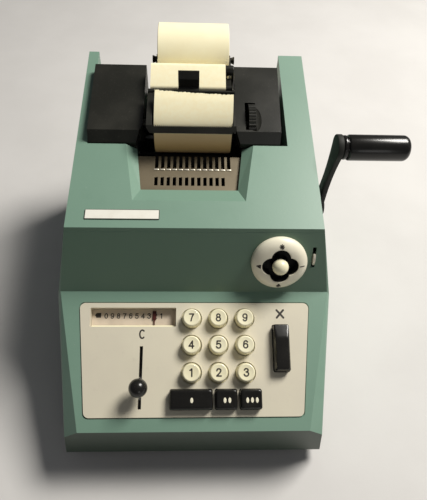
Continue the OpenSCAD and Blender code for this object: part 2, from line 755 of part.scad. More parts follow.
module paper_roll() color(paper_cream) difference() {
    bar(left_x, right_x, roll_r, roll_y, roll_z);
    bar(left_x - 1, right_x + 1, spindle_r + 0.02, roll_y, roll_z);
}

// Paper strip: off the roll, over the guide bar, round the platen and out past the tear bar
wrap_r = platen_r + roll_clear + paper_t / 2;
bar_at = [bar_y, bar_z];
edge_at = [edge_y, edge_z];
platen_at = [platen_y, platen_z];
over_bar = bar_r + 0.3 + paper_t / 2;
over_edge = edge_r + 0.3 + paper_t / 2;
leave_at = edge_at + polar(over_edge, 200) - platen_at;
meet_angle = atan2(leave_at.y, leave_at.x) - acos(wrap_r / norm(leave_at));
strip_line = concat(
    [[roll_y - roll_r - 0.3 - paper_t / 2 - 0.4, roll_z - 3]],
    arc(bar_at, over_bar, 10, 120, 5),
    arc(edge_at, over_edge, 120, 200, 4),
    arc(platen_at, wrap_r, meet_angle, -192, 14),
    [[tear_y + 2.6, tear_z - 4], [tear_y + 4.4, tear_z + 1.8], [tear_y + 10, tear_z + 7.6],
        [tear_y + 17, tear_z + 11.8], [tear_y + 23.6, tear_z + 13.8]]
);

module paper_strip() color(paper_cream) across(left_x, right_x) thick_line(strip_line, paper_t);

// Chute: a bent sheet from the guide bar to the paper's edge and round under the platen
chute_t = 1;
module paper_chute() color(steel) {
    w = arm_off - arm_t / 2 - 0.3;
    across(paper_x - w, paper_x + w) {
        thick_line(arc(platen_at, platen_r + 1.6, meet_angle - 3, -68, 6), chute_t);
        thick_line([platen_at + polar(platen_r + 1.6, meet_angle - 3), [edge_y, edge_z - 1.6]], chute_t);
        thick_line([[edge_y + 0.2, edge_z - 0.2], bar_at + [-3.2, -5.4], bar_at + [3.6, -10.6]], chute_t);
        translate(edge_at) circle(r = edge_r);
    }
}

// Tear bar: a saw-edged strip with side rails, on two cheeks that hang on the platen's shaft
tooth_pitch = 1.45;
teeth = 40;
rail_line = [[tear_y - 0.4, tear_z - 0.4], [tear_y + 8, tear_z + 3.2], [tear_y + 20, tear_z + 5.6], rod_at];
module rail() {
    polygon(concat(rail_line, [for (i = [3:-1:0]) rail_line[i] + [0, -1.4]]));
    translate(rod_at) circle(r = 1.8);
}
module tear_bar() color(steel) {
    translate([paper_x, tear_y, tear_z]) rotate([59, 0, 0]) translate([0, 0, -0.6]) linear_extrude(1.2) polygon(concat(
        [[-rail_out, 0], [-rail_out, -2], [2.4 - rail_out, -5.8], [cheek_in - 1.6, -5.8], [cheek_in + cheek_t, -2],
            [cheek_in + cheek_t, 0]],
        [for (i = [teeth:-1:-teeth]) [i * tooth_pitch / 2, i % 2 == 0 ? 0 : -1.2]]
    ));
    across(paper_x - rail_out, paper_x - rail_in) rail();
    across(paper_x + rail_in, paper_x + cheek_in + cheek_t) rail();
    bar(paper_x - rail_in - 1, paper_x + rail_in + 1, thin_rod_r, rod_at.x, rod_at.y);
    for (x = [paper_x - cheek_in - cheek_t, paper_x + cheek_in]) across(x, x + cheek_t) difference() {
        union() {
            circle_at(platen_at, 7);
            polygon([platen_at + [-5, -5], platen_at + [5, 5], rail_line[2], rail_line[1], rail_line[0], [tear_y - 3, tear_z - 4.6]]);
        }
        circle_at(platen_at, platen_shaft_r + run_gap);
    }
}

// Finger that holds the paper down behind the tear bar, clipped on the thin rod
module paper_finger() color(black_plastic) across(paper_x - 11.4, paper_x + 4.7) difference() {
    union() {
        circle_at(rod_at, thin_rod_r + 1);
        polygon([
            rod_at + [0, -1], [edge_y - 3.6, edge_z + 0.3], [edge_y - 3.6, edge_z + 11], [edge_y - 1, edge_z + 15.7],
            [edge_y - 3.4, edge_z + 16.8], [edge_y - 6.4, edge_z + 11.5], [edge_y - 6.4, rod_at.y + 3], rod_at + [0, 1.6]
        ]);
    }
    circle_at(rod_at, thin_rod_r + 0.02);
}

// Platen with its shaft and thumbwheel
module platen_roller() color(rubber) difference() {
    bar(left_x - 0.4, right_x + 0.4, platen_r, platen_y, platen_z);
    bar(left_x - 2, right_x + 2, platen_shaft_r + 0.02, platen_y, platen_z);
}
module platen_shaft() color(steel)
    bar(frame_left_x - 2, wheel_x + wheel_w + 1, platen_shaft_r, platen_y, platen_z);

module thumbwheel() color(black_plastic) translate([wheel_x, platen_y, platen_z]) rotate([0, 90, 0]) difference() {
    cylinder(r = wheel_r, h = wheel_w);
    translate([0, 0, -1]) cylinder(r = platen_shaft_r + 0.02, h = wheel_w + 2);
    for (i = [0:35]) rotate([0, 0, i * 10]) translate([wheel_r + 0.35, 0, -1]) cylinder(r = 0.9, h = wheel_w + 2, $fn = 6);
}

module feed_roller() color(rubber) {
    bar(left_x + 4, right_x - 4, feed_r, feed_y, feed_z);
    bar(frame_left_x - 0.5, frame_right_x + frame_t + 0.5, axle_r, feed_y, feed_z);
}

module ink_roller() color([0.25, 0.2, 0.35]) {
    bar(left_x - 1, right_x + 1, ink_r, ink_y, ink_z);
    bar(frame_left_x - 0.5, frame_right_x + frame_t + 0.5, axle_r, ink_y, ink_z);
}

// Comb plate: the slotted plate in the printing window
comb_x0 = frame_left_x + frame_t + seat_gap;
comb_x1 = frame_right_x - seat_gap;
function column_x(i) = paper_x + (i - (columns - 1) / 2) * column_pitch;

module comb_plate() color(khaki) on_cover() difference() {
    union() {
        translate([comb_x0, comb_s.x, comb_off - comb_t]) cube([comb_x1 - comb_x0, comb_s.y - comb_s.x, comb_t]);
        for (x = [comb_x0, comb_x1 - comb_t]) translate([x, comb_s.x + 6, comb_off - 14])
            cube([comb_t, comb_s.y - comb_s.x - 6, 14 - comb_t / 2]);
    }
    for (i = [0:columns - 1]) {
        translate([column_x(i) - slot_cut / 2, slot_s.x - 1, comb_off - 5]) cube([slot_cut, 20, 10]);
        if (i < columns - 1) translate([column_x(i) - slot_cut / 2, low_slot_s.x, comb_off - 5])
            cube([slot_cut, low_slot_s.y - low_slot_s.x, 10]);
    }
}

// Type bars on their common lifting rail
cam_r = 10;
cam_off = 6;
rail_z = cam_z + cam_r - cam_off + 0.9;
module type_bars() color(steel) {
    block([column_x(0) - 3, type_y - type_deep / 2, rail_z], [column_x(columns - 1) + 3, type_y + type_deep / 2, rail_z + 6]);
    for (i = [0:columns - 1]) across(column_x(i) - type_t / 2, column_x(i) + type_t / 2) polygon([
        [type_y - type_deep / 2, rail_z + 3], [type_y + type_deep / 2, rail_z + 3],
        [type_y + type_deep / 2, type_top], [type_y, type_top], [type_y - type_deep / 2, type_top - 3]
    ]);
}

// Drive: main shaft, crank arm, grip, sector and cam shaft
module main_shaft() color(steel) difference() {
    bar(frame_left_x - 2, crank_x + crank_t + 1, shaft_r, hub_y, hub_z);
}

module crank_arm() color(black_paint) difference() {
    union() {
        across(crank_x, crank_x + crank_t) {
            link([hub_y, hub_z], [mix(hub_y, grip_y, 0.5), mix(hub_z, grip_z, 0.5)], 10, 5.5);
            link([mix(hub_y, grip_y, 0.5), mix(hub_z, grip_z, 0.5)], [grip_y, grip_z], 5.5, grip_r);
        }
        bar(crank_x, crank_x + crank_t + 2.5, 8, hub_y, hub_z);
    }
    bar(crank_x - 1, crank_x + crank_t + 4, shaft_r + 0.02, hub_y, hub_z);
    bar(crank_x - 1, crank_x + crank_t + 4, pin_r + 0.02, grip_y, grip_z);
}

module grip_pin() color(steel) {
    bar(crank_x, grip_x + grip_len - 8, pin_r, grip_y, grip_z);
    bar(grip_x + grip_len - 8, grip_x + grip_len - 6, pin_r + 1.5, grip_y, grip_z);
}

module crank_grip() color(black_plastic) translate([grip_x, grip_y, grip_z]) rotate([0, 90, 0]) rotate_extrude() polygon(concat(
    [[pin_r + run_gap, 0], [grip_r - 1.2, 0], [grip_r - 0.6, 0.6], [grip_r - 0.6, 2.6], [grip_r - 1.6, 3.1],
        [grip_r - 1.6, 3.7], [grip_r, 4.4]],
    [for (a = [0:15:90]) [grip_r - 5 + 5 * cos(a), grip_len - 5 + 5 * sin(a)]],
    [[0, grip_len], [0, grip_len - 5.8], [pin_r + 1.7, grip_len - 5.8], [pin_r + 1.7, grip_len - 8.3], [pin_r + run_gap, grip_len - 8.3]]
));

// A gear as (y, z) outline with teeth from tooth n0 to n1
module gear_outline(teeth, n0, n1) {
    r = gear_m * teeth / 2;
    step = 360 / teeth;
    circle(r = r - gear_m * 1.2);
    for (n = [n0:n1]) rotate(n * step) polygon([
        polar(r - gear_m * 1.4, -step * 0.27), polar(r, -step * 0.2), polar(r + gear_m * 0.75, -step * 0.1),
        polar(r + gear_m * 0.75, step * 0.1), polar(r, step * 0.2), polar(r - gear_m * 1.4, step * 0.27)
    ]);
}

module drive_sector() color(steel) across(gear_x, gear_x + gear_t) translate([hub_y, hub_z]) difference() {
    rotate(mesh_angle) intersection() {
        gear_outline(sector_teeth, -15, 2);
        union() {
            circle(r = 12);
            polygon([[0, 0], polar(90, 22), polar(90, -20), polar(90, -60), polar(90, -100), polar(90, -122)]);
        }
    }
    circle(r = shaft_r + 0.02);
    for (a = [-25, -65]) rotate(mesh_angle + a) translate([22, 0]) circle(r = 6);
}

module cam_shaft() color(steel) translate([0, cam_y, cam_z]) {
    translate([0, -cam_y, -cam_z]) bar(frame_left_x - 1, frame_right_x + frame_t + 1, cam_shaft_r, cam_y, cam_z);
    across(gear_x, gear_x + gear_t) rotate(mesh_angle + 180 + 180 / pinion_teeth) gear_outline(pinion_teeth, 0, pinion_teeth - 1);
    for (x = [-26, -5, 17]) across(x, x + 4) translate([0, -cam_off]) circle(r = cam_r);
}

// Key guide plate on four posts under the deck
post_places = [[-66, -4.3], [66, -4.3], [-66, -93.9], [66, -93.9]];
module key_guide_plate() color(steel) on_deck() difference() {
    union() {
        translate([-guide_hw, -96.4, guide_under]) cube([2 * guide_hw, 94.6, guide_t]);
        for (p = post_places) translate([p.x, p.y, guide_under + 0.1])
            cylinder(r = 2.4, h = -wall - seat_gap - guide_under - 0.1);
    }
    for (i = [1:9]) translate([key_place(i).x, key_place(i).y, guide_under - 1])
        cylinder(r = stem_r + run_gap, h = 4);
    for (z = zero_places) translate([z.x, -zero_s, guide_under - 1]) cylinder(r = stem_r + run_gap, h = 4);
    for (side = [-1, 1]) translate([times_x, -times_s + side * 10, guide_under - 1])
        cylinder(r = stem_r + run_gap, h = 4);
    // Slot that the column pointer's arm runs in
    translate([-76, -window_s + pointer_y - 1.4, guide_under - 1]) cube([58, 2.8, 4]);
}

// Keys: a cap that comes up through the panel, a collar under it and a stem
flange_top = panel_under - seat_gap;
cap_top = panel_top + key_rise;
module key_stem(x, y) translate([x, y, -stem_len]) cylinder(r = stem_r, h = stem_len - 1);

module digit_key(i) on_deck() {
    p = key_place(i);
    translate([p.x, p.y, 0]) rotate_extrude() polygon([
        [0, flange_top - collar_t], [key_d / 2 + 1.2, flange_top - collar_t], [key_d / 2 + 1.2, flange_top],
        [key_d / 2, flange_top], [key_d / 2, panel_top + 1], [key_d / 2 - 0.7, cap_top - 0.7],
        [key_d / 2 - 1.3, cap_top], [key_d / 2 - 2.6, cap_top - 0.25], [0, cap_top - 0.8]
    ]);
    key_stem(p.x, p.y);
}

module zero_key(k) on_deck() {
    z = zero_places[k];
    translate([z.x, -zero_s, 0]) {
        translate([0, 0, flange_top - collar_t]) linear_extrude(collar_t) pad(z.y + 1.4, zero_len + 2.4, 1.5);
        hull() {
            translate([0, 0, flange_top - 0.5]) linear_extrude(cap_top - 1.5 - flange_top + 0.5)
                pad(z.y, zero_len, 1.5);
            translate([0, 0.5, cap_top - 0.3]) linear_extrude(0.3) pad(z.y - 2.4, zero_len - 3.4, 1.2);
        }
    }
    key_stem(z.x, -zero_s);
}

module key_1() color(ivory) digit_key(1);
module key_2() color(ivory) digit_key(2);
module key_3() color(ivory) digit_key(3);
module key_4() color(ivory) digit_key(4);
module key_5() color(ivory) digit_key(5);
module key_6() color(ivory) digit_key(6);
module key_7() color(ivory) digit_key(7);
module key_8() color(ivory) digit_key(8);
module key_9() color(ivory) digit_key(9);
module key_0() color(black_plastic) zero_key(0);
module key_00() color(black_plastic) zero_key(1);
module key_000() color(black_plastic) zero_key(2);

module multiply_key() color(black_plastic) on_deck() {
    translate([times_x, -times_s, 0]) {
        translate([0, 0, flange_top - collar_t]) linear_extrude(collar_t) pad(times_w + 2.4, times_len + 2.4, 1.5);
        hull() {
            translate([0, 0, flange_top - 0.5]) linear_extrude(cap_top - 1.5 - flange_top + 0.5)
                pad(times_w, times_len, 1.5);
            translate([0, -2.8, cap_top + 0.5]) linear_extrude(0.3) pad(times_w - 2.4, times_len - 8.4, 1.2);
        }
    }
    for (side = [-1, 1]) key_stem(times_x, -times_s + side * 10);
}

// Pin carriage on two rods, with the pointer that shows the column
carriage_s0 = rod_s.x - 7;
carriage_s1 = rod_s.y + 7;
module pin_carriage() color(steel) on_deck() difference() {
    union() {
        translate([carriage_x - carriage_w / 2, -carriage_s1, carriage_under])
            cube([carriage_w, carriage_s1 - carriage_s0, carriage_top - carriage_under]);
        for (i = [0:9], j = [0:2]) translate([carriage_x - 22.5 + i * 5, -carriage_s0 - 9 - j * 5, carriage_top - 1])
            cylinder(r = 0.8, h = 2.6, $fn = 12);
    }
    for (s = rod_s) bar(carriage_x - carriage_w, carriage_x + carriage_w, rod_r + run_gap, -s, rods_z);
}

module carriage_rods() color(steel) on_deck() for (s = rod_s)
    bar(-lug_x - 3, lug_x + 3, rod_r, -s, rods_z);

module column_pointer() color([0.3, 0.1, 0.08]) on_deck() {
    translate([pointer_x, -window_s, 0]) {
        translate([-1, pointer_y - pointer_t / 2, carriage_top + 0.02])
            cube([2, pointer_t, 1.1 - scale_depth - carriage_top]);
        translate([-0.4, pointer_y, 0.5 - scale_depth]) cube([0.8, -pointer_y, 0.6]);
        translate([-1.4, -1.1, 0.5 - scale_depth]) cube([2.8, 6.6, 0.6]);
    }
}

// Correction lever with its ball
module correction_lever() color(steel) on_deck() translate([slot_x, -lever_s, 0]) {
    translate([-0.8, -2.5, flange_top - 1.8]) cube([1.6, 5, 3.5 - flange_top]);
    translate([-5, -8, flange_top - 2]) cube([10, 16, 2]);
    translate([0, 0, 1.2]) cylinder(r1 = 1.1, r2 = 1.8, h = 3);
    translate([0, 0, 4]) cylinder(r = 1.8, h = ball_h - 4);
}

module correction_knob() color(black_plastic) on_deck() translate([slot_x, -lever_s, ball_h]) difference() {
    sphere(r = ball_r);
    translate([0, 0, -ball_r - 1]) cylinder(r = 1.82, h = ball_r + 1.02);
}

// Selector: raised dial, cup, gimbal ring and the ball on its stem
module at_dial() on_riser() translate([dial_x, -dial_s, 0]) children();
lobe_places = [[lobe_off, 0], [-lobe_off, 0], [0, lobe_off], [0, -lobe_off]];

module selector_dial() color(panel_cream) at_dial() difference() {
    translate([0, 0, 0.02]) rotate_extrude() polygon([
        [0, 0], [dial_r, 0], [dial_r, dial_edge - 1], [dial_r - 0.4, dial_edge], [dial_r - 1.5, dial_edge + 1.7],
        [dial_r - 3.4, dial_edge + 3.3], [dial_r - 6, dial_h - 0.7], [dial_r - 8.5, dial_h - 0.1], [0, dial_h]
    ]);
    for (p = lobe_places) translate([p.x, p.y, -1]) cylinder(r = lobe_r, h = dial_h + 2);
    translate([0, 0, -1]) cylinder(r = lobe_off, h = dial_h + 2);
}

cup_end = -24;
module selector_cup() color(black_plastic) at_dial() difference() {
    translate([0, 0, cup_end]) cylinder(r = cup_r, h = -cup_end - seat_gap);
    translate([0, 0, cup_end + 1.5]) cylinder(r = cup_r - 1.6, h = -cup_end);
    translate([-cup_r - 1, 0, -gimbal_depth]) rotate([0, 90, 0]) cylinder(r = gimbal_pin_r + run_gap, h = 2 * cup_r + 2);
}

gimbal_pin_r = 1.2;
gimbal_in = 8.6;
gimbal_out = 11;
stick_hub = 5;
module gimbal_ring() color(steel) at_dial() translate([0, 0, -gimbal_depth]) difference() {
    union() {
        translate([0, 0, -2]) cylinder(r = gimbal_out, h = 4);
        for (side = [-1, 1]) rotate([0, side * 90, 0]) translate([0, 0, gimbal_out - 0.5])
            cylinder(r = gimbal_pin_r, h = cup_r - gimbal_out);
    }
    translate([0, 0, -3]) cylinder(r = gimbal_in, h = 6);
    rotate([90, 0, 0]) translate([0, 0, -gimbal_out - 1]) cylinder(r = gimbal_pin_r + run_gap, h = 2 * gimbal_out + 2);
}

module selector_stick() color(steel) at_dial() {
    translate([0, 0, -gimbal_depth - 9]) cylinder(r = 2, h = gimbal_depth + 9 + knob_h);
    translate([0, 0, -gimbal_depth - 2.4]) cylinder(r = stick_hub, h = 4.8);
    translate([0, 0, -gimbal_depth]) rotate([90, 0, 0]) translate([0, 0, -gimbal_out + 0.3])
        cylinder(r = gimbal_pin_r, h = 2 * gimbal_out - 0.6);
}

module selector_knob() color(ivory) at_dial() translate([0, 0, knob_h]) difference() {
    sphere(r = knob_r);
    translate([0, 0, -knob_r - 1]) cylinder(r = 2.02, h = knob_r + 1.02);
}

// Small lever that rocks in its slot beside the dial
module status_lever() color(steel) on_riser() translate([tab_x, -tab_s, -tab_depth]) rotate([0, 90, 0]) {
    translate([0, 0, -5]) cylinder(r = tab_pin_r, h = 10);
    translate([0, 0, -0.8]) linear_extrude(1.6) {
        circle(r = tab_pin_r + 1.3);
        polygon(concat([[1.5, -1], [1.5, 1]], arc([0, 0], tab_depth + 2.6, 158, 218, 8)));
    }
}

base_plate();
rubber_feet();
foot_screws();
lower_housing();
top_cover();
print_cover_left();
print_cover_right();
keypad_panel();
window_lens();
digit_scale();
name_plate();
frame_left();
frame_right();
tie_rods();
shaft_bushes();
roll_bracket();
roll_spindle();
paper_roll();
paper_strip();
paper_chute();
tear_bar();
platen_roller();
platen_shaft();
thumbwheel();
feed_roller();
paper_finger();
comb_plate();
type_bars();
ink_roller();
main_shaft();
crank_arm();
crank_grip();
grip_pin();
drive_sector();
cam_shaft();
key_guide_plate();
pin_carriage();
carriage_rods();
column_pointer();
key_1();
key_2();
key_3();
key_4();
key_5();
key_6();
key_7();
key_8();
key_9();
key_0();
key_00();
key_000();
multiply_key();
correction_lever();
correction_knob();
selector_dial();
selector_cup();
selector_stick();
selector_knob();
gimbal_ring();
status_lever();
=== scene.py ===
"""Hand-cranked ten-key adding machine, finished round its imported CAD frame.

Lengths inside the sections are millimetres in the machine's own directions and
become metres as they enter a mesh. +X is the crank's side, +Y the back, +Z up.
"""
import json
import math

import bmesh
import bpy
import numpy as np
from mathutils import Matrix, Vector


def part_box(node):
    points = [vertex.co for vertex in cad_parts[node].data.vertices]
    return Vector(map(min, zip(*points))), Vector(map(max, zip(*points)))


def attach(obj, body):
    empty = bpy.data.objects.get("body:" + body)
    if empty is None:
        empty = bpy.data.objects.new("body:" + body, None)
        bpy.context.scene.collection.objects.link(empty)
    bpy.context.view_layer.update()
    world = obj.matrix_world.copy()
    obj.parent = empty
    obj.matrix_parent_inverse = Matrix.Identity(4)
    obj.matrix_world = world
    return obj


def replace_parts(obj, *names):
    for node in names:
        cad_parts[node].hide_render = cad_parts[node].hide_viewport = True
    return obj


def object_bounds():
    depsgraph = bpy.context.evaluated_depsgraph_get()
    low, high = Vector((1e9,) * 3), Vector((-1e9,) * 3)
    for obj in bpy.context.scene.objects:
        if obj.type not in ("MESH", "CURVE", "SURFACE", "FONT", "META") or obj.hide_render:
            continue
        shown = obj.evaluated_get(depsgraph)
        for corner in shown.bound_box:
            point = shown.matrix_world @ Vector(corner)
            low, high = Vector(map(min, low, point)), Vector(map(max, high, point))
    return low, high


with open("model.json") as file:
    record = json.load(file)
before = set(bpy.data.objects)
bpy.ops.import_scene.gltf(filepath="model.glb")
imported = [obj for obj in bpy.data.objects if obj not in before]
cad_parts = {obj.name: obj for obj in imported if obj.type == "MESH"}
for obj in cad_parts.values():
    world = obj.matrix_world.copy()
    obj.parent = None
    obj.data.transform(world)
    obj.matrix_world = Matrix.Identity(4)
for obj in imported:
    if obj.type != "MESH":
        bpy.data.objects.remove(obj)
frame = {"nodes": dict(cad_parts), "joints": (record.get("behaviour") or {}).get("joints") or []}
nodes = frame["nodes"]
cad_box = [list(corner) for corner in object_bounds()]
scene = bpy.context.scene
MM = 0.001

# ----------------------------------------------------------
# Camera, table and light: a pale table top under soft studio light, from one
# panel behind and above on the crank's side and a weak one at the front.
foot_plane = cad_box[0][2]
eye_place = np.array([-1.3, -249.6, 382.5])
yaw, pitch, lean = math.radians(3.78), math.radians(51.5), math.radians(3.29)
ahead = np.array([math.sin(yaw) * math.cos(pitch), math.cos(yaw) * math.cos(pitch), -math.sin(pitch)])
level = np.array([math.cos(yaw), -math.sin(yaw), 0.0])
upward = np.cross(level, ahead)
right = math.cos(lean) * level + math.sin(lean) * upward
over = -math.sin(lean) * level + math.cos(lean) * upward


def add_object(name, data):
    """Puts the data into the scene as an object of that name."""
    made = bpy.data.objects.new(name, data)
    scene.collection.objects.link(made)
    return made


eye = bpy.data.cameras.new("eye")
eye.lens = 34.56
eye.sensor_width = 36.0
camera = add_object("camera", eye)
eye_frame = np.eye(4)
eye_frame[:3, 0], eye_frame[:3, 1], eye_frame[:3, 2] = right, over, -ahead
eye_frame[:3, 3] = eye_place * MM
camera.matrix_world = Matrix(eye_frame.tolist())
bpy.context.scene.camera = camera
scene.view_settings.view_transform = "Standard"


class Wire:
    """A number that varies over a surface; + - * and ** add the Math node they name."""

    def __init__(self, finish, socket):
        self.finish, self.socket = finish, socket

    def math(self, operation, a, b=0.0):
        return self.finish.node("ShaderNodeMath", {"operation": operation}, [a, b])

    def __add__(self, other):
        return self.math("ADD", self, other)

    def __radd__(self, other):
        return self.math("ADD", other, self)

    def __sub__(self, other):
        return self.math("SUBTRACT", self, other)

    def __rsub__(self, other):
        return self.math("SUBTRACT", other, self)

    def __mul__(self, other):
        return self.math("MULTIPLY", self, other)

    def __rmul__(self, other):
        return self.math("MULTIPLY", other, self)

    def __pow__(self, other):
        return self.math("POWER", self, other)

    def most(self, other):
        return self.math("MAXIMUM", self, other)

    def size(self):
        return self.math("ABSOLUTE", self)

    def ease(self, low, high):
        """0 below low, 1 above high, and a smooth climb between them."""
        return self.finish.node("ShaderNodeMapRange", {"interpolation_type": "SMOOTHSTEP"},
                                {"Value": self, "From Min": low, "From Max": high})


class Finish:
    """One material: nodes are added with node(), colours mixed with blend()."""

    def __init__(self, name, **shader):
        self.material = bpy.data.materials.new(name)
        self.material.use_nodes = True
        self.tree = self.material.node_tree
        self.shader = self.tree.nodes["Principled BSDF"]
        for socket, value in shader.items():
            self.shader.inputs[socket.replace("_", " ")].default_value = value
        self.place = self.node("ShaderNodeTexCoord", {}, {}, "Object")

    def node(self, kind, settings, values, out=0):
        """Adds a node: settings first, then each socket's value or link, and returns its output out."""
        made = self.tree.nodes.new(kind)
        for key, value in settings.items():
            setattr(made, key, value)
        pairs = values.items() if isinstance(values, dict) else enumerate(values)
        for key, value in pairs:
            if isinstance(value, Wire):
                self.tree.links.new(value.socket, made.inputs[key])
            else:
                made.inputs[key].default_value = value
        return Wire(self, made.outputs[out])

    def axes(self):
        """x, y and z of the place on the piece, in metres."""
        made = self.node("ShaderNodeSeparateXYZ", {}, [self.place])
        parts = made.socket.node.outputs
        return [Wire(self, parts[k]) for k in range(3)]

    def noise(self, scale, detail=4.0, rough=0.55, stretch=(1, 1, 1)):
        """Cloudy pattern from 0 to 1, finer with scale and drawn out by stretch."""
        where = self.place
        if stretch != (1, 1, 1):
            where = self.node("ShaderNodeMapping", {}, {"Vector": self.place, "Scale": stretch})
        return self.node("ShaderNodeTexNoise", {},
                         {"Vector": where, "Scale": scale, "Detail": detail, "Roughness": rough})

    def blend(self, share, first, second):
        """The colour first where share is 0, second where it is 1."""
        mixed = self.node("ShaderNodeMix", {"data_type": "RGBA"}, {"Factor": share})
        made = mixed.socket.node
        for socket, value in ((made.inputs[6], first), (made.inputs[7], second)):
            if isinstance(value, Wire):
                self.tree.links.new(value.socket, socket)
            else:
                socket.default_value = (*value, 1.0)
        return Wire(self, made.outputs[2])

    def feed(self, **sockets):
        """Links values to the shader's sockets, named with _ for a space."""
        for key, value in sockets.items():
            self.tree.links.new(value.socket, self.shader.inputs[key.replace("_", " ")])

    def mottle(self, pattern, first, second, low=0.35, high=0.75, rough=0.0, spread=0.0):
        """Colour first where the pattern is low, second where high; roughness is rough + pattern * spread."""
        self.feed(Base_Color=self.blend(pattern.ease(low, high), first, second))
        if spread:
            self.feed(Roughness=rough + pattern * spread)

    def bump(self, height, depth, strength=0.4):
        """Raises the surface by height times depth metres, in the shading only."""
        self.feed(Normal=self.node("ShaderNodeBump", {},
                                   {"Strength": strength, "Distance": depth, "Height": height}))


table_white, table_pale = (0.62, 0.605, 0.59), (0.66, 0.645, 0.63)
table = Finish("table top", Roughness=0.75)
table.mottle(table.noise(9.0, 6.0), table_white, table_pale, 0.3, 0.7)
table.bump(table.noise(220.0, 3.0), 0.0002, 0.3)
bpy.ops.mesh.primitive_plane_add(size=9.0, location=(0, 0, foot_plane))
floor = bpy.context.object
floor.name = "table_top"
floor.data.materials.append(table.material)

world = scene.world or bpy.data.worlds.new("room")
scene.world = world
world.use_nodes = True
sky = world.node_tree.nodes["Background"]
sky.inputs["Color"].default_value = (0.93, 0.95, 1.0, 1.0)
sky.inputs["Strength"].default_value = 0.1


def panel_light(name, place, size, power, tint):
    """A square lamp of that size at place, both in metres, facing the middle of the machine."""
    lamp = bpy.data.lights.new(name, "AREA")
    lamp.shape, lamp.size, lamp.energy, lamp.color = "SQUARE", size, power, tint
    lamp_object = add_object(name, lamp)
    lamp_object.location = place
    lamp_object.rotation_mode = "QUATERNION"
    lamp_object.rotation_quaternion = (Vector((0, 0, 0.1)) - Vector(place)).to_track_quat("-Z", "Y")
    lamp_object.visible_camera = False


panel_light("key_light", (0.75, 0.44, 1.3), 0.55, 31.0, (1.0, 0.97, 0.91))
panel_light("front_light", (0.38, -1.25, 0.40), 0.45, 0.8, (1.0, 0.98, 0.94))

# ----------------------------------------------------------
# Housing: two die-cast shells, sprayed grey-green over a fine filler. The top
# cover drops on the lower housing and its two rails run back beside the
# printer; every outer edge is rounded before painting.
green, green_light, green_mist = (0.175, 0.29, 0.222), (0.192, 0.312, 0.24), (0.155, 0.265, 0.20)
# Painted shade for faces turned to the front and for the front lip, and a darker tone towards the bottom
green_painted_shade, green_low_dark, green_lip_painted_shade = (0.06, 0.115, 0.066), (0.045, 0.075, 0.05), (0.018, 0.03, 0.018)
green_speck = (0.34, 0.40, 0.36)
shell_round, shell_rim = 2.6, 0.5
broad_face, long_edge, least_bend = 0.0045, 0.004, 9.0


def merged_copy(node, name):
    """A copy of a CAD node as one closed skin: loose triangles joined and flat areas made one face."""
    made = add_object(name, nodes[node].data.copy())
    skin = bmesh.new()
    skin.from_mesh(made.data)
    bmesh.ops.remove_doubles(skin, verts=skin.verts, dist=2e-6)
    bmesh.ops.dissolve_limit(skin, angle_limit=math.radians(1.0), verts=skin.verts, edges=skin.edges)
    bmesh.ops.recalc_face_normals(skin, faces=skin.faces)
    skin.to_mesh(made.data)
    skin.free()
    return made


def ease_edges(piece, wide, thin, soft=28.0):
    """Rounds convex edges by wide mm between two broad faces and by thin mm elsewhere.

    A face is broad when its area over its longest edge passes broad_face metres,
    and bends of less than soft degrees are shaded smooth.
    """
    skin = bmesh.new()
    skin.from_mesh(piece.data)
    weight = skin.edges.layers.float.new("bevel_weight_edge")
    broad = {f: f.calc_area() / max(e.calc_length() for e in f.edges) > broad_face for f in skin.faces}
    for edge in skin.edges:
        if len(edge.link_faces) != 2 or not edge.is_convex:
            continue
        if edge.calc_face_angle() < math.radians(least_bend):
            continue
        full = all(broad[f] for f in edge.link_faces) and edge.calc_length() > long_edge
        edge[weight] = 1.0 if full else thin / wide
    skin.to_mesh(piece.data)
    skin.free()
    piece.data.shade_smooth()
    piece.data.set_sharp_from_angle(angle=math.radians(soft))
    rounding = piece.modifiers.new("rounding", "BEVEL")
    rounding.limit_method = "WEIGHT"
    rounding.width = wide * MM
    rounding.segments = 4
    rounding.harden_normals = True
    even = piece.modifiers.new("even", "WEIGHTED_NORMAL")
    even.weight = 100
    even.keep_sharp = True
    return piece


def coat(piece, finish):
    """Gives a mesh its finish and nothing else."""
    piece.data.materials.clear()
    piece.data.materials.append(finish.material)


def dress(piece, finish, body, slot, *replaced):
    """Gives a piece its finish, its body and the nodes that it stands for; slot is not used."""
    coat(piece, finish)
    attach(piece, body)
    if replaced:
        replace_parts(piece, *replaced)
    return piece


def rounded_copy(node, name, wide, thin, finish, body, slot, soft=28.0):
    """A CAD node's skin with its edges rounded, dressed to stand for that node."""
    return dress(ease_edges(merged_copy(node, name), wide, thin, soft), finish, body, slot, node)


paint = Finish("grey-green paint", Roughness=0.42, Coat_Roughness=0.25)
cloud = paint.noise(7.0, 5.0)
mist = paint.noise(46.0, 5.0)
speck = paint.noise(900.0, 2.0).ease(0.68, 0.76)
shade = paint.blend(cloud.ease(0.3, 0.72), green, green_light)
shade = paint.blend(mist.ease(0.52, 0.8) * 0.35, shade, green_mist)
shade = paint.blend(speck * 0.35, shade, green_speck)

# Painted shade: deeper paint where it faces the front, darker paint towards the bottom, and the darkest
# painted shade on the front lip
outward = paint.node("ShaderNodeNewGeometry", {}, {}, "Normal")
to_front = paint.node("ShaderNodeVectorMath", {"operation": "DOT_PRODUCT"},
                      [outward, (0.0, -1.0, 0.0)], "Value")
paint_z = paint.axes()[2]
shade = paint.blend(to_front.ease(0.55, 0.85) * 0.55, shade, green_painted_shade)
# Darker towards the bottom, by height
shade = paint.blend((1.0 - paint_z.ease(0.0, 0.045)) * 0.6, shade, green_low_dark)
lip_shade_mask = to_front.ease(0.75, 0.9) * (1.0 - paint_z.ease(0.04, 0.055))
shade = paint.blend(lip_shade_mask * 0.75, shade, green_lip_painted_shade)
paint.feed(Base_Color=shade, Roughness=0.36 + cloud * 0.12 + speck * 0.2)
paint.bump(paint.noise(520.0, 3.0, 0.6), 0.00006, 0.55)

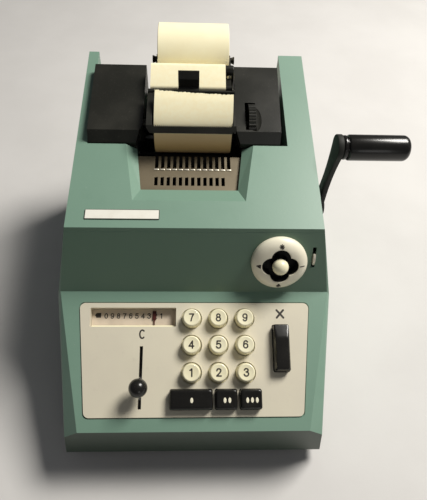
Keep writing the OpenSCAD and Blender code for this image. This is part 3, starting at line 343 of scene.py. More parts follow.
for node in ("lower_housing", "top_cover"):
    rounded_copy(node, node + "_shell", shell_round, shell_rim, paint, "base", "housing_paint", soft=6.0)

# ----------------------------------------------------------
# Keyboard panel: a moulded cream plate, eased at every opening and dropped
# into a shallow pocket of the deck. Two plain marks are printed on it.
deck_root, deck_slope, panel_face = (0.0, -48.737, 78.716), 21.7, 0.85
cream, cream_haze, cream_spot = (0.715, 0.665, 0.525), (0.65, 0.60, 0.485), (0.55, 0.50, 0.40)
ink_brown, ink_worn = (0.022, 0.018, 0.014), (0.06, 0.05, 0.04)


def on_plane(points, root, slope):
    """Local (x, up the slope, out of it) to root + x X + y (0, cos, sin) + z (0, -sin, cos), in metres."""
    points = np.asarray(points, float)
    c, s = math.cos(math.radians(slope)), math.sin(math.radians(slope))
    x, y, z = points[..., 0], points[..., 1], points[..., 2]
    return np.stack([root[0] + x, root[1] + y * c - z * s, root[2] + y * s + z * c], -1) * MM


def on_deck(points, x, down, out=0.0):
    """Lays a local shape on the keyboard deck: x aside, down the slope and out from its face."""
    return on_plane(np.asarray(points, float) + [x, -down, out], deck_root, deck_slope)


def new_piece(name, points, faces, smooth=True):
    """A mesh piece from points in metres; doubled points are joined and faces turned out."""
    mesh = bpy.data.meshes.new(name)
    corners = [tuple(map(int, face)) for face in faces]
    mesh.from_pydata(np.asarray(points, float).reshape(-1, 3).tolist(), [], corners)
    skin = bmesh.new()
    skin.from_mesh(mesh)
    bmesh.ops.remove_doubles(skin, verts=skin.verts, dist=1e-6)
    bmesh.ops.dissolve_degenerate(skin, dist=1e-7, edges=skin.edges)
    bmesh.ops.recalc_face_normals(skin, faces=skin.faces)
    skin.to_mesh(mesh)
    skin.free()
    if smooth:
        mesh.shade_smooth()
        mesh.set_sharp_from_angle(angle=math.radians(40))
    return add_object(name, mesh)


def smooth_line(knots, steps):
    """A smooth curve through knots: cubic between neighbours with slopes from the knots beside them."""
    knots = np.asarray(knots, float)
    slope = np.gradient(knots, axis=0)
    t = np.linspace(0, len(knots) - 1, steps)
    k = np.minimum(t.astype(int), len(knots) - 2)
    f = (t - k)[:, None]
    placed = knots[k] * (2 * f ** 3 - 3 * f ** 2 + 1) + knots[k + 1] * (3 * f ** 2 - 2 * f ** 3)
    return placed + slope[k] * (f ** 3 - 2 * f ** 2 + f) + slope[k + 1] * (f ** 3 - f ** 2)


def oval(x, y, a, b, start=0.0, stop=360.0, steps=33):
    """Arc of an ellipse: (x + a cos t, y + b sin t) for t from start to stop degrees."""
    t = np.radians(np.linspace(start, stop, steps))
    return np.stack([x + a * np.cos(t), y + b * np.sin(t)], -1)


plate = Finish("cream plate", Roughness=0.45)
haze = plate.noise(12.0, 6.0)
plate_shade = plate.blend(haze.ease(0.35, 0.75), cream, cream_haze)
plate_shade = plate.blend(plate.noise(160.0, 4.0).ease(0.6, 0.85) * 0.4, plate_shade, cream_spot)
plate.feed(Base_Color=plate_shade, Roughness=0.40 + haze * 0.15)
plate.bump(plate.noise(900.0, 2.0), 0.00003, 0.5)
rounded_copy("keypad_panel", "keyboard_panel", 0.5, 0.25, plate, "base", "panel_plastic")

print_ink = Finish("printed ink", Roughness=0.5)
print_ink.mottle(print_ink.noise(700.0), ink_brown, ink_worn, 0.4, 0.8)

# Strokes of every printed character, in a box one high about its middle
strokes = {
    "0": [oval(0, 0, 0.25, 0.43)],
    "1": [[[-0.15, 0.26], [0.07, 0.43]], [[0.07, 0.43], [0.07, -0.44]]],
    "2": [smooth_line([[-0.25, 0.2], [-0.17, 0.38], [0.01, 0.43], [0.2, 0.35], [0.23, 0.16], [0.08, -0.07],
                       [-0.26, -0.42]], 30),
          [[-0.26, -0.42], [0.27, -0.42]]],
    "3": [smooth_line([[-0.24, 0.27], [-0.12, 0.41], [0.06, 0.43], [0.2, 0.33], [0.19, 0.14],
                       [-0.02, 0.05]], 24),
          smooth_line([[-0.02, 0.05], [0.18, -0.01], [0.26, -0.18], [0.19, -0.37], [0.0, -0.44],
                       [-0.18, -0.39], [-0.27, -0.24]], 28)],
    "4": [[[0.12, -0.44], [0.12, 0.42]], [[0.12, 0.42], [-0.28, -0.19]], [[-0.28, -0.19], [0.29, -0.19]]],
    "5": [[[0.23, 0.42], [-0.17, 0.42]], [[-0.17, 0.42], [-0.22, 0.02]],
          smooth_line([[-0.22, 0.02], [-0.04, 0.12], [0.15, 0.08], [0.26, -0.12], [0.2, -0.35], [0.01, -0.44],
                       [-0.18, -0.39], [-0.26, -0.25]], 30)],
    "6": [oval(0, -0.17, 0.25, 0.26),
          smooth_line([[0.22, 0.3], [0.11, 0.42], [-0.06, 0.42], [-0.2, 0.25], [-0.25, -0.14]], 24)],
    "7": [[[-0.26, 0.42], [0.26, 0.42]], smooth_line([[0.26, 0.42], [0.06, 0.05], [-0.07, -0.44]], 20)],
    "8": [oval(0, 0.22, 0.2, 0.2), oval(0, -0.2, 0.25, 0.24)],
    "9": [oval(0, 0.17, 0.25, 0.26),
          smooth_line([[-0.22, -0.3], [-0.11, -0.42], [0.06, -0.42], [0.2, -0.25], [0.25, 0.14]], 24)],
    "C": [oval(0.05, 0, 0.27, 0.45, 50, 310)],
    "X": [[[-0.39, 0.44], [0.39, -0.44]], [[-0.39, -0.44], [0.39, 0.44]]],
    "-": [[[-0.5, 0], [0.5, 0]]],
    "wedge": [[[-0.5, 0], [0.4, 0.45]], [[-0.5, 0], [0.4, -0.45]], [[0.4, 0.45], [0.4, -0.45]],
              [[-0.3, 0], [0.4, 0]], [[0.1, 0.2], [0.1, -0.2]]],
    "peak": [[[0, 0.5], [0.45, -0.2]], [[0, 0.5], [-0.45, -0.2]], [[-0.45, -0.2], [0.45, -0.2]],
             [[0, 0.3], [0, -0.5]], [[-0.2, 0], [0.2, 0]]],
    "star": [[[-0.5, 0], [0.5, 0]], [[0, -0.5], [0, 0.5]], [[-0.36, -0.36], [0.36, 0.36]],
             [[-0.36, 0.36], [0.36, -0.36]]],
}


def printed(name, mark, height, pen, place, body="base"):
    """A character as ribbons: each stroke's points +- pen/2 times its normal, with a round blob at both ends.

    Each part lies a layer of ink above the one before, so that none of them meet in one plane.
    """
    points, faces, heights, count, layer = [], [], [], 0, 0.01
    blob = oval(0, 0, pen / 2, pen / 2, steps=15)[:-1]
    for line in strokes[mark]:
        line = np.asarray(line, float) * height
        if len(line) == 2:
            line = line[0] + np.linspace(0, 1, 9)[:, None] * (line[1] - line[0])
        along = np.gradient(line, axis=0)
        side = np.stack([-along[:, 1], along[:, 0]], -1) / np.linalg.norm(along, axis=1, keepdims=True)
        side *= pen / 2
        points += [line + side, line - side, line[0] + blob, line[-1] + blob]
        heights += [[lift + layer * len(heights)] * len(part)
                    for lift, part in zip((0, 0, layer, 2 * layer), points[-4:])]
        k, n = len(line), count
        faces += [(n + i, n + k + i, n + k + i + 1, n + i + 1) for i in range(k - 1)]
        faces += [tuple(n + 2 * k + m * len(blob) + i for i in range(len(blob))) for m in range(2)]
        count += 2 * k + 2 * len(blob)
    flat = np.column_stack([np.concatenate(points), np.concatenate(heights)])
    return dress(new_piece(name, place(flat), faces, smooth=False), print_ink, body, "black_plastic")


for name, mark, high, pen, x, down in (("correction_mark", "C", 6.6, 1.1, -38.9, 31.9),
                                       ("times_mark", "X", 6.4, 1.5, 63.4, 17.0)):
    printed(name, mark, high, pen, lambda p, x=x, down=down: on_deck(p, x, down, panel_face))

# ----------------------------------------------------------
# Number keys: cream buttons with a shallow dish and a soft shoulder, each
# moulded in one with its round stem; the figure is printed in the dish.
key_cream, key_worn, key_grime = (0.88, 0.83, 0.60), (0.84, 0.78, 0.53), (0.50, 0.43, 0.27)
key_pitch, middle_x, top_row = 19.5, 16.9, 20.6
key_radius, key_top, face_radius, dish = 6.9, 7.8, 5.3, 0.4
stem_foot, stem_radius, collar_low, collar_high, collar_radius = -24, 2, -3.0, -1.5, 8.1


def grid_faces(rows, columns, round_rows=False, round_columns=True):
    """Quads between neighbours of a rows x columns grid of points, wrapped where asked."""
    r = np.arange(rows if round_rows else rows - 1)
    c = np.arange(columns if round_columns else columns - 1)
    r, c = np.meshgrid(r, c, indexing="ij")
    up, along = (r + 1) % rows, (c + 1) % columns
    quads = [r * columns + c, r * columns + along, up * columns + along, up * columns + c]
    return np.stack(quads, -1).reshape(-1, 4)


def turned(profile, sides=64):
    """Surface of revolution: (r cos a, r sin a, h) for every (r, h) of the profile and a round the circle."""
    profile = np.asarray(profile, float)
    a = np.linspace(0, 2 * np.pi, sides, endpoint=False)
    r, h = profile[:, :1], profile[:, 1:]
    return np.stack([r * np.cos(a), r * np.sin(a), h + 0 * a], -1), grid_faces(len(profile), sides)


button = Finish("key cream", Roughness=0.32, Coat_Weight=0.15)
patina = button.noise(60.0, 5.0)
tone = button.blend(patina.ease(0.35, 0.75), key_cream, key_worn)
tone = button.blend(button.noise(480.0, 3.0).ease(0.64, 0.8) * 0.3, tone, key_grime)
button.feed(Base_Color=tone, Roughness=0.28 + patina * 0.16)
button.bump(button.noise(260.0, 4.0), 0.00003)

shoulder = np.radians(np.linspace(0, 90, 9))
shoulder_round = 0.9
dish_r = np.linspace(face_radius - 0.2, 0, 12)
key_profile = np.concatenate([
    [[0, stem_foot], [stem_radius, stem_foot], [stem_radius, collar_low], [collar_radius, collar_low],
     [collar_radius, collar_high], [key_radius, collar_high], [key_radius, 1.8]],
    np.stack([face_radius + shoulder_round * np.cos(shoulder),
              key_top - shoulder_round + shoulder_round * np.sin(shoulder)], -1),
    np.stack([dish_r, key_top - dish * (1 - (dish_r / face_radius) ** 2)], -1)])


def in_dish(points, x, down):
    """Lays flat marks in a key's dish: height top - dish (1 - (r / face radius) ** 2), and 0.04 mm of ink."""
    sunk = dish * (1 - (points[:, 0] ** 2 + points[:, 1] ** 2) / face_radius ** 2)
    points[:, 2] += key_top + 0.04 - sunk
    return on_deck(points, x, down)


for number in range(1, 10):
    body = f"key_{number}"
    x = middle_x + ((number - 1) % 3 - 1) * key_pitch
    down = top_row + (2 - (number - 1) // 3) * key_pitch
    points, faces = turned(key_profile)
    key = new_piece(f"number_key_{number}", on_deck(points, x, down), faces)
    dress(key, button, body, "ivory_plastic", body)
    printed(f"figure_{number}", str(number), 5.8, 1.02, lambda p, x=x, down=down: in_dish(p, x, down), body)

# ----------------------------------------------------------
# Black keys: three zero keys and the tall multiplication key, glossy moulded
# blocks with rounded corners and a sloping shoulder; the zeros are inlaid.
black, black_smear, black_dust = (0.009, 0.0085, 0.0075), (0.02, 0.019, 0.016), (0.13, 0.12, 0.10)
inlay_white, inlay_worn = (0.90, 0.86, 0.68), (0.78, 0.74, 0.58)
block_corner, collar_end, zero_rim, times_rim = 1.5, 2.4, 1.4, 2.4
zero_down, zero_length, zero_rise, zero_shoulder, zero_slope = 77.8, 13.5, 5.6, 1.9, 1.6
zero_width, short_width, zero_gap = 29.8, 15.2, 2.3
inlay_pitch, inlay_stretch = 3.35, 1.85
times_x, times_down, times_width, times_length, times_rise = 62.9, 42.2, 11.4, 33.5, 5.9
head_width, head_length, head_shift = 9.0, 22.6, -4.1


def rounded_outline(width, length, corner=block_corner, steps=8):
    """Closed outline of a rectangle with round corners, counted from its middle."""
    quarter = np.radians(np.linspace(0, 90, steps))
    parts = [np.stack([sx * (width / 2 - corner) + corner * np.cos(quarter + turn),
                       sy * (length / 2 - corner) + corner * np.sin(quarter + turn)], -1)
             for sx, sy, turn in ((1, 1, 0), (-1, 1, np.pi / 2), (-1, -1, np.pi), (1, -1, 1.5 * np.pi))]
    return np.concatenate(parts)


def stacked(layers):
    """Skin over layers of (outline, height), closed by shrinking the first and the last to its middle."""
    rings = [np.column_stack([outline, np.full(len(outline), height)]) for outline, height in layers]
    shut = [np.tile(ring.mean(0), (len(ring), 1)) for ring in (rings[0], rings[-1])]
    rings = [shut[0], *rings, shut[1]]
    return np.array(rings), grid_faces(len(rings), len(rings[0]))


def key_block(stem_length, rim, width, length, rise):
    """Layers of a black key from its stem's foot, over the collar under the panel, up its straight sides."""
    stem = rounded_outline(4, stem_length, 1.9)
    collar = rounded_outline(width + rim, length + collar_end)
    sides = rounded_outline(width, length)
    return [(stem, stem_foot), (stem, collar_low), (collar, collar_low), (collar, collar_high),
            (sides, collar_high), (sides, rise)]


gloss = Finish("black moulding", Specular_IOR_Level=0.38, Coat_Weight=0.12)
smear = gloss.noise(40.0, 5.0)
dust = gloss.noise(1400.0, 2.0).ease(0.66, 0.74)
gloss_shade = gloss.blend(smear.ease(0.4, 0.8) * 0.5, black, black_smear)
gloss.feed(Base_Color=gloss.blend(dust * 0.2, gloss_shade, black_dust), Roughness=0.16 + smear * 0.16)
gloss.bump(gloss.noise(180.0, 4.0), 0.00003)
inlay_finish = Finish("white inlay", Roughness=0.4)
inlay_finish.mottle(inlay_finish.noise(600.0), inlay_white, inlay_worn, 0.4, 0.8)

left_edge = middle_x - key_pitch - zero_width / 2
double_x = left_edge + zero_width + zero_gap + short_width / 2
triple_x = double_x + zero_gap + short_width
for name, node, x, width, zeros in (("zero_key", "key_0", left_edge + zero_width / 2, zero_width, 1),
                                    ("double_zero_key", "key_00", double_x, short_width, 2),
                                    ("triple_zero_key", "key_000", triple_x, short_width, 3)):
    layers = key_block(4, zero_rim, width, zero_length, zero_rise)
    for a in np.radians(np.linspace(15, 90, 6)):
        inset = zero_slope * (1 - math.cos(a))
        layers.append((rounded_outline(width - 2 * inset, zero_length - 2 * inset) + [0, 0.15 * inset],
                       zero_rise + zero_shoulder * math.sin(a)))
    top_outline = rounded_outline(width - 2 * zero_slope, zero_length - 2 * zero_slope)
    for share in (0.8, 0.5, 0.2):
        layers.append((top_outline * share, zero_rise + zero_shoulder - 0.25 * (1 - share)))
    points, faces = stacked(layers)
    dress(new_piece(name, on_deck(points, x, zero_down), faces), gloss, node, "black_plastic", node)
    for k in range(zeros):
        points, faces = turned([[0, -0.1], [1.0, -0.1], [1.0, 0.03], [0.9, 0.06], [0, 0.06]], 32)
        aside = (k - (zeros - 1) / 2) * inlay_pitch
        lift = 7.31 + 0.22 * abs(aside) / (width / 2 - zero_slope)
        spot = on_deck(points * [1.0, inlay_stretch, 1.0], x + aside + 0.5, zero_down + 0.6, lift)
        dress(new_piece(f"{name}_inlay_{k + 1}", spot, faces), inlay_finish, node, "ivory_plastic")

layers = key_block(24, times_rim, times_width, times_length, times_rise)
foot_line = rounded_outline(times_width, times_length)
head_line = rounded_outline(head_width, head_length, 1.6) + [0, head_shift]
for share, rise in ((0.02, 6.15), (0.06, 6.35), (0.12, 6.5), (0.5, 7.4), (0.88, 8.28), (0.95, 8.4),
                    (1.02, 8.48), (1.1, 8.52)):
    layers.append((foot_line + share * (head_line - foot_line), rise))
for share in (0.85, 0.55, 0.2):
    layers.append((rounded_outline(8.6, 21.9) * share + [0, head_shift], 8.53))
points, faces = stacked(layers)
times_key = new_piece("multiplication_key", on_deck(points, times_x, times_down), faces)
dress(times_key, gloss, "multiply_key", "black_plastic", "multiply_key")

# ----------------------------------------------------------
# Column window: a moulded frame under the panel with a printed scale of
# figures; a dark red pointer on the pin carriage shows the column in use.
window_x, window_down, scale_face = -45.7, 19.4, -6.0
first_figure, figure_pitch, figure_rise, ink_rise = -21.0, 4.58, 1.9, 0.05
arrow_x, arrow_rise = -26.9, 2.4
bead_half, bead_near, bead_far, bead_foot = 30.6, -6.9, -5.7, -2.6
card_cream, card_aged = (0.72, 0.61, 0.48), (0.62, 0.52, 0.40)
pointer_dark, pointer_red = (0.055, 0.012, 0.01), (0.12, 0.025, 0.018)

scale_card = Finish("scale card", Roughness=0.6)
scale_card.mottle(scale_card.noise(90.0, 5.0), card_cream, card_aged)
scale_card.bump(scale_card.noise(1200.0), 0.00002)
rounded_copy("digit_scale", "figure_scale", 0.1, 0.1, scale_card, "base", "ivory_plastic")
rounded_copy("window_lens", "window_frame", 0.3, 0.2, plate, "base", "panel_plastic")


def on_scale(points, x, rise):
    """Lays flat marks on the scale at x and rise up the slope from the window's middle."""
    return on_deck(points, window_x + x, window_down - rise, scale_face + ink_rise)


for k, figure in enumerate("0987654321"):
    x = first_figure + figure_pitch * k
    printed(f"scale_figure_{k}", figure, 4.0, 0.66, lambda p, x=x: on_scale(p, x, figure_rise))
arrow = [[-2.5, 0, 0], [-1.3, 1.8, 0], [2.1, 1.8, 0], [2.1, -1.8, 0], [-1.3, -1.8, 0]]
scale_arrow = new_piece("scale_arrow", on_scale(arrow, arrow_x, arrow_rise), [(0, 4, 3, 2, 1)], smooth=False)
dress(scale_arrow, print_ink, "base", "black_plastic")

# Pale bead along the window's front edge, sunk below the panel's face
bead = [[side * bead_half, y, z] for y, z in ((bead_near, -1.6), (bead_far, -2.4), (bead_far, bead_foot),
                                              (bead_near, bead_foot)) for side in (-1, 1)]
bead_faces = [(0, 1, 3, 2), (2, 3, 5, 4), (4, 5, 7, 6), (6, 7, 1, 0), (0, 2, 4, 6), (1, 7, 5, 3)]
window_bead = new_piece("window_bead", on_deck(bead, window_x, window_down), bead_faces, smooth=False)
dress(window_bead, button, "base", "ivory_plastic")

oxide = Finish("pointer red", Roughness=0.4, Metallic=0.2)
oxide.mottle(oxide.noise(300.0), pointer_dark, pointer_red, 0.4, 0.7)
rounded_copy("column_pointer", "column_bar", 0.2, 0.15, oxide, "carriage", "pointer_red")

# ----------------------------------------------------------
# Correction lever: a ground steel blade in the long slot, with a black ball
# pressed on its rod.
lever_x, lever_down, ball_high, ball_radius = -38.9, 70.0, 13.5, 6.5
steel_bright, steel_streak, steel_rust = (0.56, 0.55, 0.53), (0.44, 0.43, 0.41), (0.30, 0.24, 0.18)
steel = Finish("ground steel", Metallic=1.0, Roughness=0.3)
streak = steel.noise(120.0, 4.0, 0.6, (1, 8, 8))
rust = steel.noise(55.0, 5.0).ease(0.66, 0.86)
steel_shade = steel.blend(streak.ease(0.3, 0.7), steel_bright, steel_streak)
steel.feed(Base_Color=steel.blend(rust * 0.4, steel_shade, steel_rust),
           Roughness=0.22 + streak * 0.2 + rust * 0.2)
steel.bump(steel.noise(500.0, 3.0, 0.6, (1, 10, 10)), 0.00004, 0.5)
rounded_copy("correction_lever", "correction_blade", 0.25, 0.15, steel, "correction", "steel")


def cut_ball(radius, cut):
    """A ball cut flat below: (r cos a, r sin a) for a from -cut to 90 degrees, closed by a disc."""
    a = np.radians(np.linspace(-cut, 90, 26))
    profile = radius * np.stack([np.cos(a), np.sin(a)], -1)
    return turned(np.concatenate([[[0, profile[0, 1]]], profile]))


points, faces = cut_ball(ball_radius, 72)
ball = new_piece("correction_ball", on_deck(points, lever_x, lever_down, ball_high), faces)
dress(ball, gloss, "correction", "black_plastic", "correction_knob")

# ----------------------------------------------------------
# Selector: a raised cream dial on the riser with a black clover opening, four
# printed marks and an ivory ball on a tilting stem.
cover_root, riser_slope = (0.0, -27.603, 127.32), 66.5
dial_x, dial_down, dial_radius, dial_edge, dial_high = 61.1, 26.4, 20.5, 3.4, 8.65
lobe_radius, lobe_out, hole_radius = 7.0, 6.3, 6.4
knob_high, knob_radius = 8.4, 5.9
dial_cream, dial_grey = (0.91, 0.86, 0.69), (0.83, 0.78, 0.62)
liner_black, liner_dust = (0.006, 0.006, 0.005), (0.012, 0.011, 0.01)
nickel_bright, nickel_dull = (0.74, 0.69, 0.58), (0.55, 0.50, 0.41)
dial_face = Finish("dial face", Roughness=0.38, Coat_Weight=0.1)
dial_face.mottle(dial_face.noise(50.0, 5.0), dial_cream, dial_grey, 0.35, 0.7, rough=0.3, spread=0.2)
dial_face.bump(dial_face.noise(800.0, 2.0), 0.00003)

# Radius of the clover opening round the dial: four circles set lobe_out from the middle
angle = np.linspace(0, 2 * np.pi, 144, endpoint=False)
from_lobe = (angle + np.pi / 4) % (np.pi / 2) - np.pi / 4
clover = lobe_out * np.cos(from_lobe) + np.sqrt(lobe_radius ** 2 - (lobe_out * np.sin(from_lobe)) ** 2)


def on_dial(points):
    """Places dial-centred local points on the riser."""
    return on_plane(np.asarray(points, float) + [dial_x, -dial_down, 0], cover_root, riser_slope)


def dome(r):
    """Height of the dial at radius r: edge + (high - edge) cos(90 degrees * (r / radius) ** 3) ** 0.8."""
    share = np.clip(np.asarray(r) / dial_radius, 0, 1)
    return dial_edge + (dial_high - dial_edge) * np.cos(np.pi / 2 * share ** 3) ** 0.8


def dial_ring(reach, height):
    """Points (r cos a, r sin a, height) round the dial; reach and height may change with the angle."""
    return np.stack([reach * np.cos(angle), reach * np.sin(angle), height + 0 * angle], -1)


rim = 0.995 * dial_radius
rings = [dial_ring(share * dial_radius, height)
         for share, height in ((1.0, 0.02), (1.0, dial_edge - 0.6), (0.998, dial_edge - 0.2))]
for share in np.linspace(0, 1, 22) ** 1.6:
    reach = rim + share * (clover + 0.35 - rim)
    rings.append(dial_ring(reach, dome(reach)))
for grow, sink in ((0.12, 0.1), (0.0, 0.4)):
    rings.append(dial_ring(clover + grow, dome(clover + grow) - sink))
rings.append(dial_ring(clover, 0.02))
dial = new_piece("selector_face", on_dial(np.array(rings)), grid_faces(len(rings), len(angle), True, True))
dress(dial, dial_face, "base", "panel_plastic", "selector_dial")

# Black liner: wall of the clover opening down to a floor with a round hole for the stem
liner = np.array([dial_ring(reach, height) for reach, height in (
    (clover - 0.02, dome(clover) - 0.9), (clover - 0.02, 0.3), (clover - 0.02, -0.1), (hole_radius, -0.1),
    (hole_radius, 0.4), (clover - 0.3, 0.4), (clover - 0.1, 0.7), (clover - 0.1, dome(clover) - 0.9))])
matt_black = Finish("matt black moulding", Roughness=0.8)
matt_black.mottle(matt_black.noise(300.0), liner_black, liner_dust, 0.4, 0.8)
matt_black.bump(matt_black.noise(900.0), 0.00003)
selector_liner = new_piece("selector_liner", on_dial(liner), grid_faces(len(liner), len(angle), True, True))
dress(selector_liner, matt_black, "base", "black_plastic")
points, faces = cut_ball(knob_radius, 68)
selector_ball = new_piece("selector_ball", on_dial(points + [0, 0, knob_high]), faces)
dress(selector_ball, button, "stick", "ivory_plastic", "selector_knob")


def on_dome(points, x, y):
    """Lays flat marks on the dome at (x, y), 0.07 mm above it."""
    points = np.asarray(points, float) + [x, y, 0]
    points[:, 2] += dome(np.hypot(points[:, 0], points[:, 1])) + 0.07
    return on_dial(points)


for name, mark, high, pen, x, y in (("star", "star", 3.1, 0.7, 0.0, 15.8), ("line", "-", 3.0, 0.8, 16.0, 0.0),
                                    ("wedge", "wedge", 2.5, 1.0, -15.6, 0.0),
                                    ("peak", "peak", 2.9, 1.1, 0.0, -16.4)):
    printed("selector_mark_" + name, mark, high, pen, lambda p, x=x, y=y: on_dome(p, x, y))
nickel = Finish("nickelled tab", Metallic=0.35, Roughness=0.4)
nickel.mottle(nickel.noise(200.0), nickel_bright, nickel_dull, 0.4, 0.8)
nickel.bump(nickel.noise(700.0), 0.00003)
for node in ("gimbal_ring", "selector_stick", "selector_cup"):
    coat(nodes[node], matt_black)
coat(nodes["status_lever"], nickel)

# ----------------------------------------------------------
# Printer covers: two black sprayed sheet covers on either side of the paper,
# with a bevel at the front; the bare white plate on the housing has a dark edge.
soot, soot_film, soot_fleck = (0.016, 0.016, 0.013), (0.034, 0.033, 0.027), (0.12, 0.115, 0.10)
wall_reach, wall_back, wall_taper = 2.2, 0.8, 1.6 / 60
plate_white, plate_dull, plate_edge = (0.86, 0.84, 0.76), (0.76, 0.73, 0.64), (0.05, 0.055, 0.045)
satin_black = Finish("satin black spray", Specular_IOR_Level=0.32)
lint = satin_black.noise(30.0, 6.0)
fleck = satin_black.noise(1100.0, 2.0).ease(0.64, 0.72)
satin_shade = satin_black.blend(lint.ease(0.4, 0.8) * 0.6, soot, soot_film)
satin_black.feed(Base_Color=satin_black.blend(fleck * 0.3, satin_shade, soot_fleck),
                 Roughness=0.24 + lint * 0.16)
satin_black.bump(satin_black.noise(700.0, 3.0), 0.00005, 0.6)


def draw_in_wall(piece, corner):
    """Moves the outer wall in: x - wall_back - wall_taper * (distance in front of the corner)."""
    spots = np.empty(3 * len(piece.data.vertices), np.float32)
    piece.data.vertices.foreach_get("co", spots)
    x, y = spots[0::3] / MM, spots[1::3] / MM
    inward = wall_back + wall_taper * (corner.y / MM - y)
    spots[0::3] -= np.where(x > corner.x / MM - wall_reach, inward, 0) * MM
    piece.data.vertices.foreach_set("co", spots)


for node in ("print_cover_left", "print_cover_right"):
    shell = merged_copy(node, node + "_shell")
    if node == "print_cover_right":
        draw_in_wall(shell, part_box(node)[1])
    dress(ease_edges(shell, 1.1, 0.3), satin_black, "base", "black_paint", node)

badge = Finish("name plate white", Roughness=0.35, Coat_Weight=0.2)
low_corner, high_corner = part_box("name_plate")
badge_x, badge_y = badge.axes()[:2]
past_x = (badge_x - (low_corner.x + high_corner.x) / 2).size() - (high_corner.x - low_corner.x) / 2
past_y = (badge_y - (low_corner.y + high_corner.y) / 2).size() - (high_corner.y - low_corner.y) / 2
at_edge = past_x.most(past_y).ease(-0.0007, -0.0004)
badge_shade = badge.blend(badge.noise(80.0, 4.0).ease(0.4, 0.8), plate_white, plate_dull)
badge.feed(Base_Color=badge.blend(at_edge, badge_shade, plate_edge))
badge.bump(badge.noise(900.0), 0.00002)
rounded_copy("name_plate", "bare_plate", 0.2, 0.15, badge, "base", "ivory_plastic")

# ----------------------------------------------------------
# Comb plate and type bars: a khaki lacquered plate whose slots guide thirteen
# steel type bars below the window; a bright lip is soldered at each slot's foot.
cover_slope, comb_face = 11.5, -9.0
slot_count, slot_middle, slot_pitch, lip_up = 13, -2.5, 4.66, 56.8
khaki_light, khaki_smut = (0.19, 0.155, 0.10), (0.135, 0.11, 0.068)
khaki = Finish("khaki lacquer", Roughness=0.45, Metallic=0.35)
khaki.mottle(khaki.noise(35.0, 6.0), khaki_light, khaki_smut, rough=0.35, spread=0.25)
khaki.bump(khaki.noise(600.0), 0.00004, 0.5)
rounded_copy("comb_plate", "comb", 0.3, 0.18, khaki, "base", "comb_finish")
rounded_copy("type_bars", "type_set", 0.2, 0.12, steel, "type", "steel")
lip_line = rounded_outline(3.7, 1.15, 0.3, 4)
for k in range(slot_count):
    x = slot_middle + (k - slot_count // 2) * slot_pitch
    points, faces = stacked([(lip_line, -0.2), (lip_line, 0.35), (lip_line * 0.86, 0.5)])
    spot = on_plane(points + [x, lip_up, comb_face], cover_root, cover_slope)
    dress(new_piece(f"slot_lip_{k + 1}", spot, faces), nickel, "base", "steel")

# ----------------------------------------------------------
# Paper: a cream roll whose end shows its turns, and one strip over the guide
# bar, round the platen and out past the tear bar, with a torn curling end.
hinge_at = {joint["name"]: np.array(joint["pos_m"]) / MM for joint in frame["joints"] if "pos_m" in joint}
paper_x, paper_width, half_width = -2.5, 59.0, 29.5
platen, wrap = hinge_at["platen_turn"][1:], 22.5
roll_centre, roll_radius, core_radius = hinge_at["roll_turn"][1:], 29.4, 3.0
guide, guide_wrap = np.array([102.697, 170.62]), 4.5
chute_edge, chute_wrap = np.array([85.197, 165.62]), 2.7
tear = np.array([44.397, 160.52])
leave, free_run, creep = -188.0, 34.0, 3.9
paper_cream, paper_fibre, paper_fox = (0.93, 0.87, 0.61), (0.92, 0.83, 0.55), (0.82, 0.68, 0.42)
# Tan and brown of the painted shadow on the paper below the tear bar
paper_shadow_tan, paper_shadow_brown = (0.95, 0.70, 0.41), (0.74, 0.47, 0.18)
roll_worn, roll_seam = (0.90, 0.82, 0.55), (0.55, 0.43, 0.26)

sheet_paper = Finish("cream paper", Roughness=0.8)
fibre = sheet_paper.noise(350.0, 5.0)
foxing = sheet_paper.noise(28.0, 5.0)
paper_shade = sheet_paper.blend(fibre.ease(0.3, 0.75), paper_cream, paper_fibre)
paper_shade = sheet_paper.blend(foxing.ease(0.55, 0.85) * 0.3, paper_shade, paper_fox)

# Painted shadow: the paper turns tan and then brown with depth below the tear bar
paper_z = sheet_paper.axes()[2]
paper_shade = sheet_paper.blend(1.0 - paper_z.ease(0.1505, 0.1575), paper_shade, paper_shadow_tan)
paper_shade = sheet_paper.blend((1.0 - paper_z.ease(0.137, 0.1545)) * 0.85, paper_shade, paper_shadow_brown)
sheet_paper.feed(Base_Color=paper_shade, Roughness=0.74 + fibre * 0.12)
sheet_paper.bump(fibre, 0.00004, 0.6)


def swept(name, path, body, thick, columns, shape=None):
    """Paper along X: (x, y, z) of the path +- thick/2 along its normal; shape may move the points."""
    along = np.gradient(path, axis=0)
    normal = np.stack([-along[:, 1], along[:, 0]], -1) / np.linalg.norm(along, axis=1, keepdims=True)
    x = np.linspace(paper_x - half_width, paper_x + half_width, columns)
    sides = []
    for side in (1, -1):
        line = path + side * thick / 2 * normal
        face = np.stack(np.broadcast_arrays(x[None, :], line[:, :1], line[:, 1:]), -1)
        sides.append(shape(face) if shape else face)
    rows = len(path)
    front = grid_faces(rows, columns, False, False)
    back = front[:, ::-1] + rows * columns
    edge = np.concatenate([np.arange(columns), np.arange(1, rows) * columns + columns - 1,
                           (rows - 1) * columns + np.arange(columns - 2, -1, -1),
                           np.arange(rows - 2, 0, -1) * columns])
    after = np.roll(edge, -1)
    wall = np.stack([edge, after, after + rows * columns, edge + rows * columns], -1)
    points = np.concatenate([side.reshape(-1, 3) for side in sides]) * MM
    return dress(new_piece(name, points, np.concatenate([front, back, wall])), sheet_paper, body, "paper")


def bow(centre, radius, start, stop, steps):
    """Points centre + radius (cos a, sin a) from start to stop degrees."""
    return oval(*centre, radius, radius, start, stop, steps)


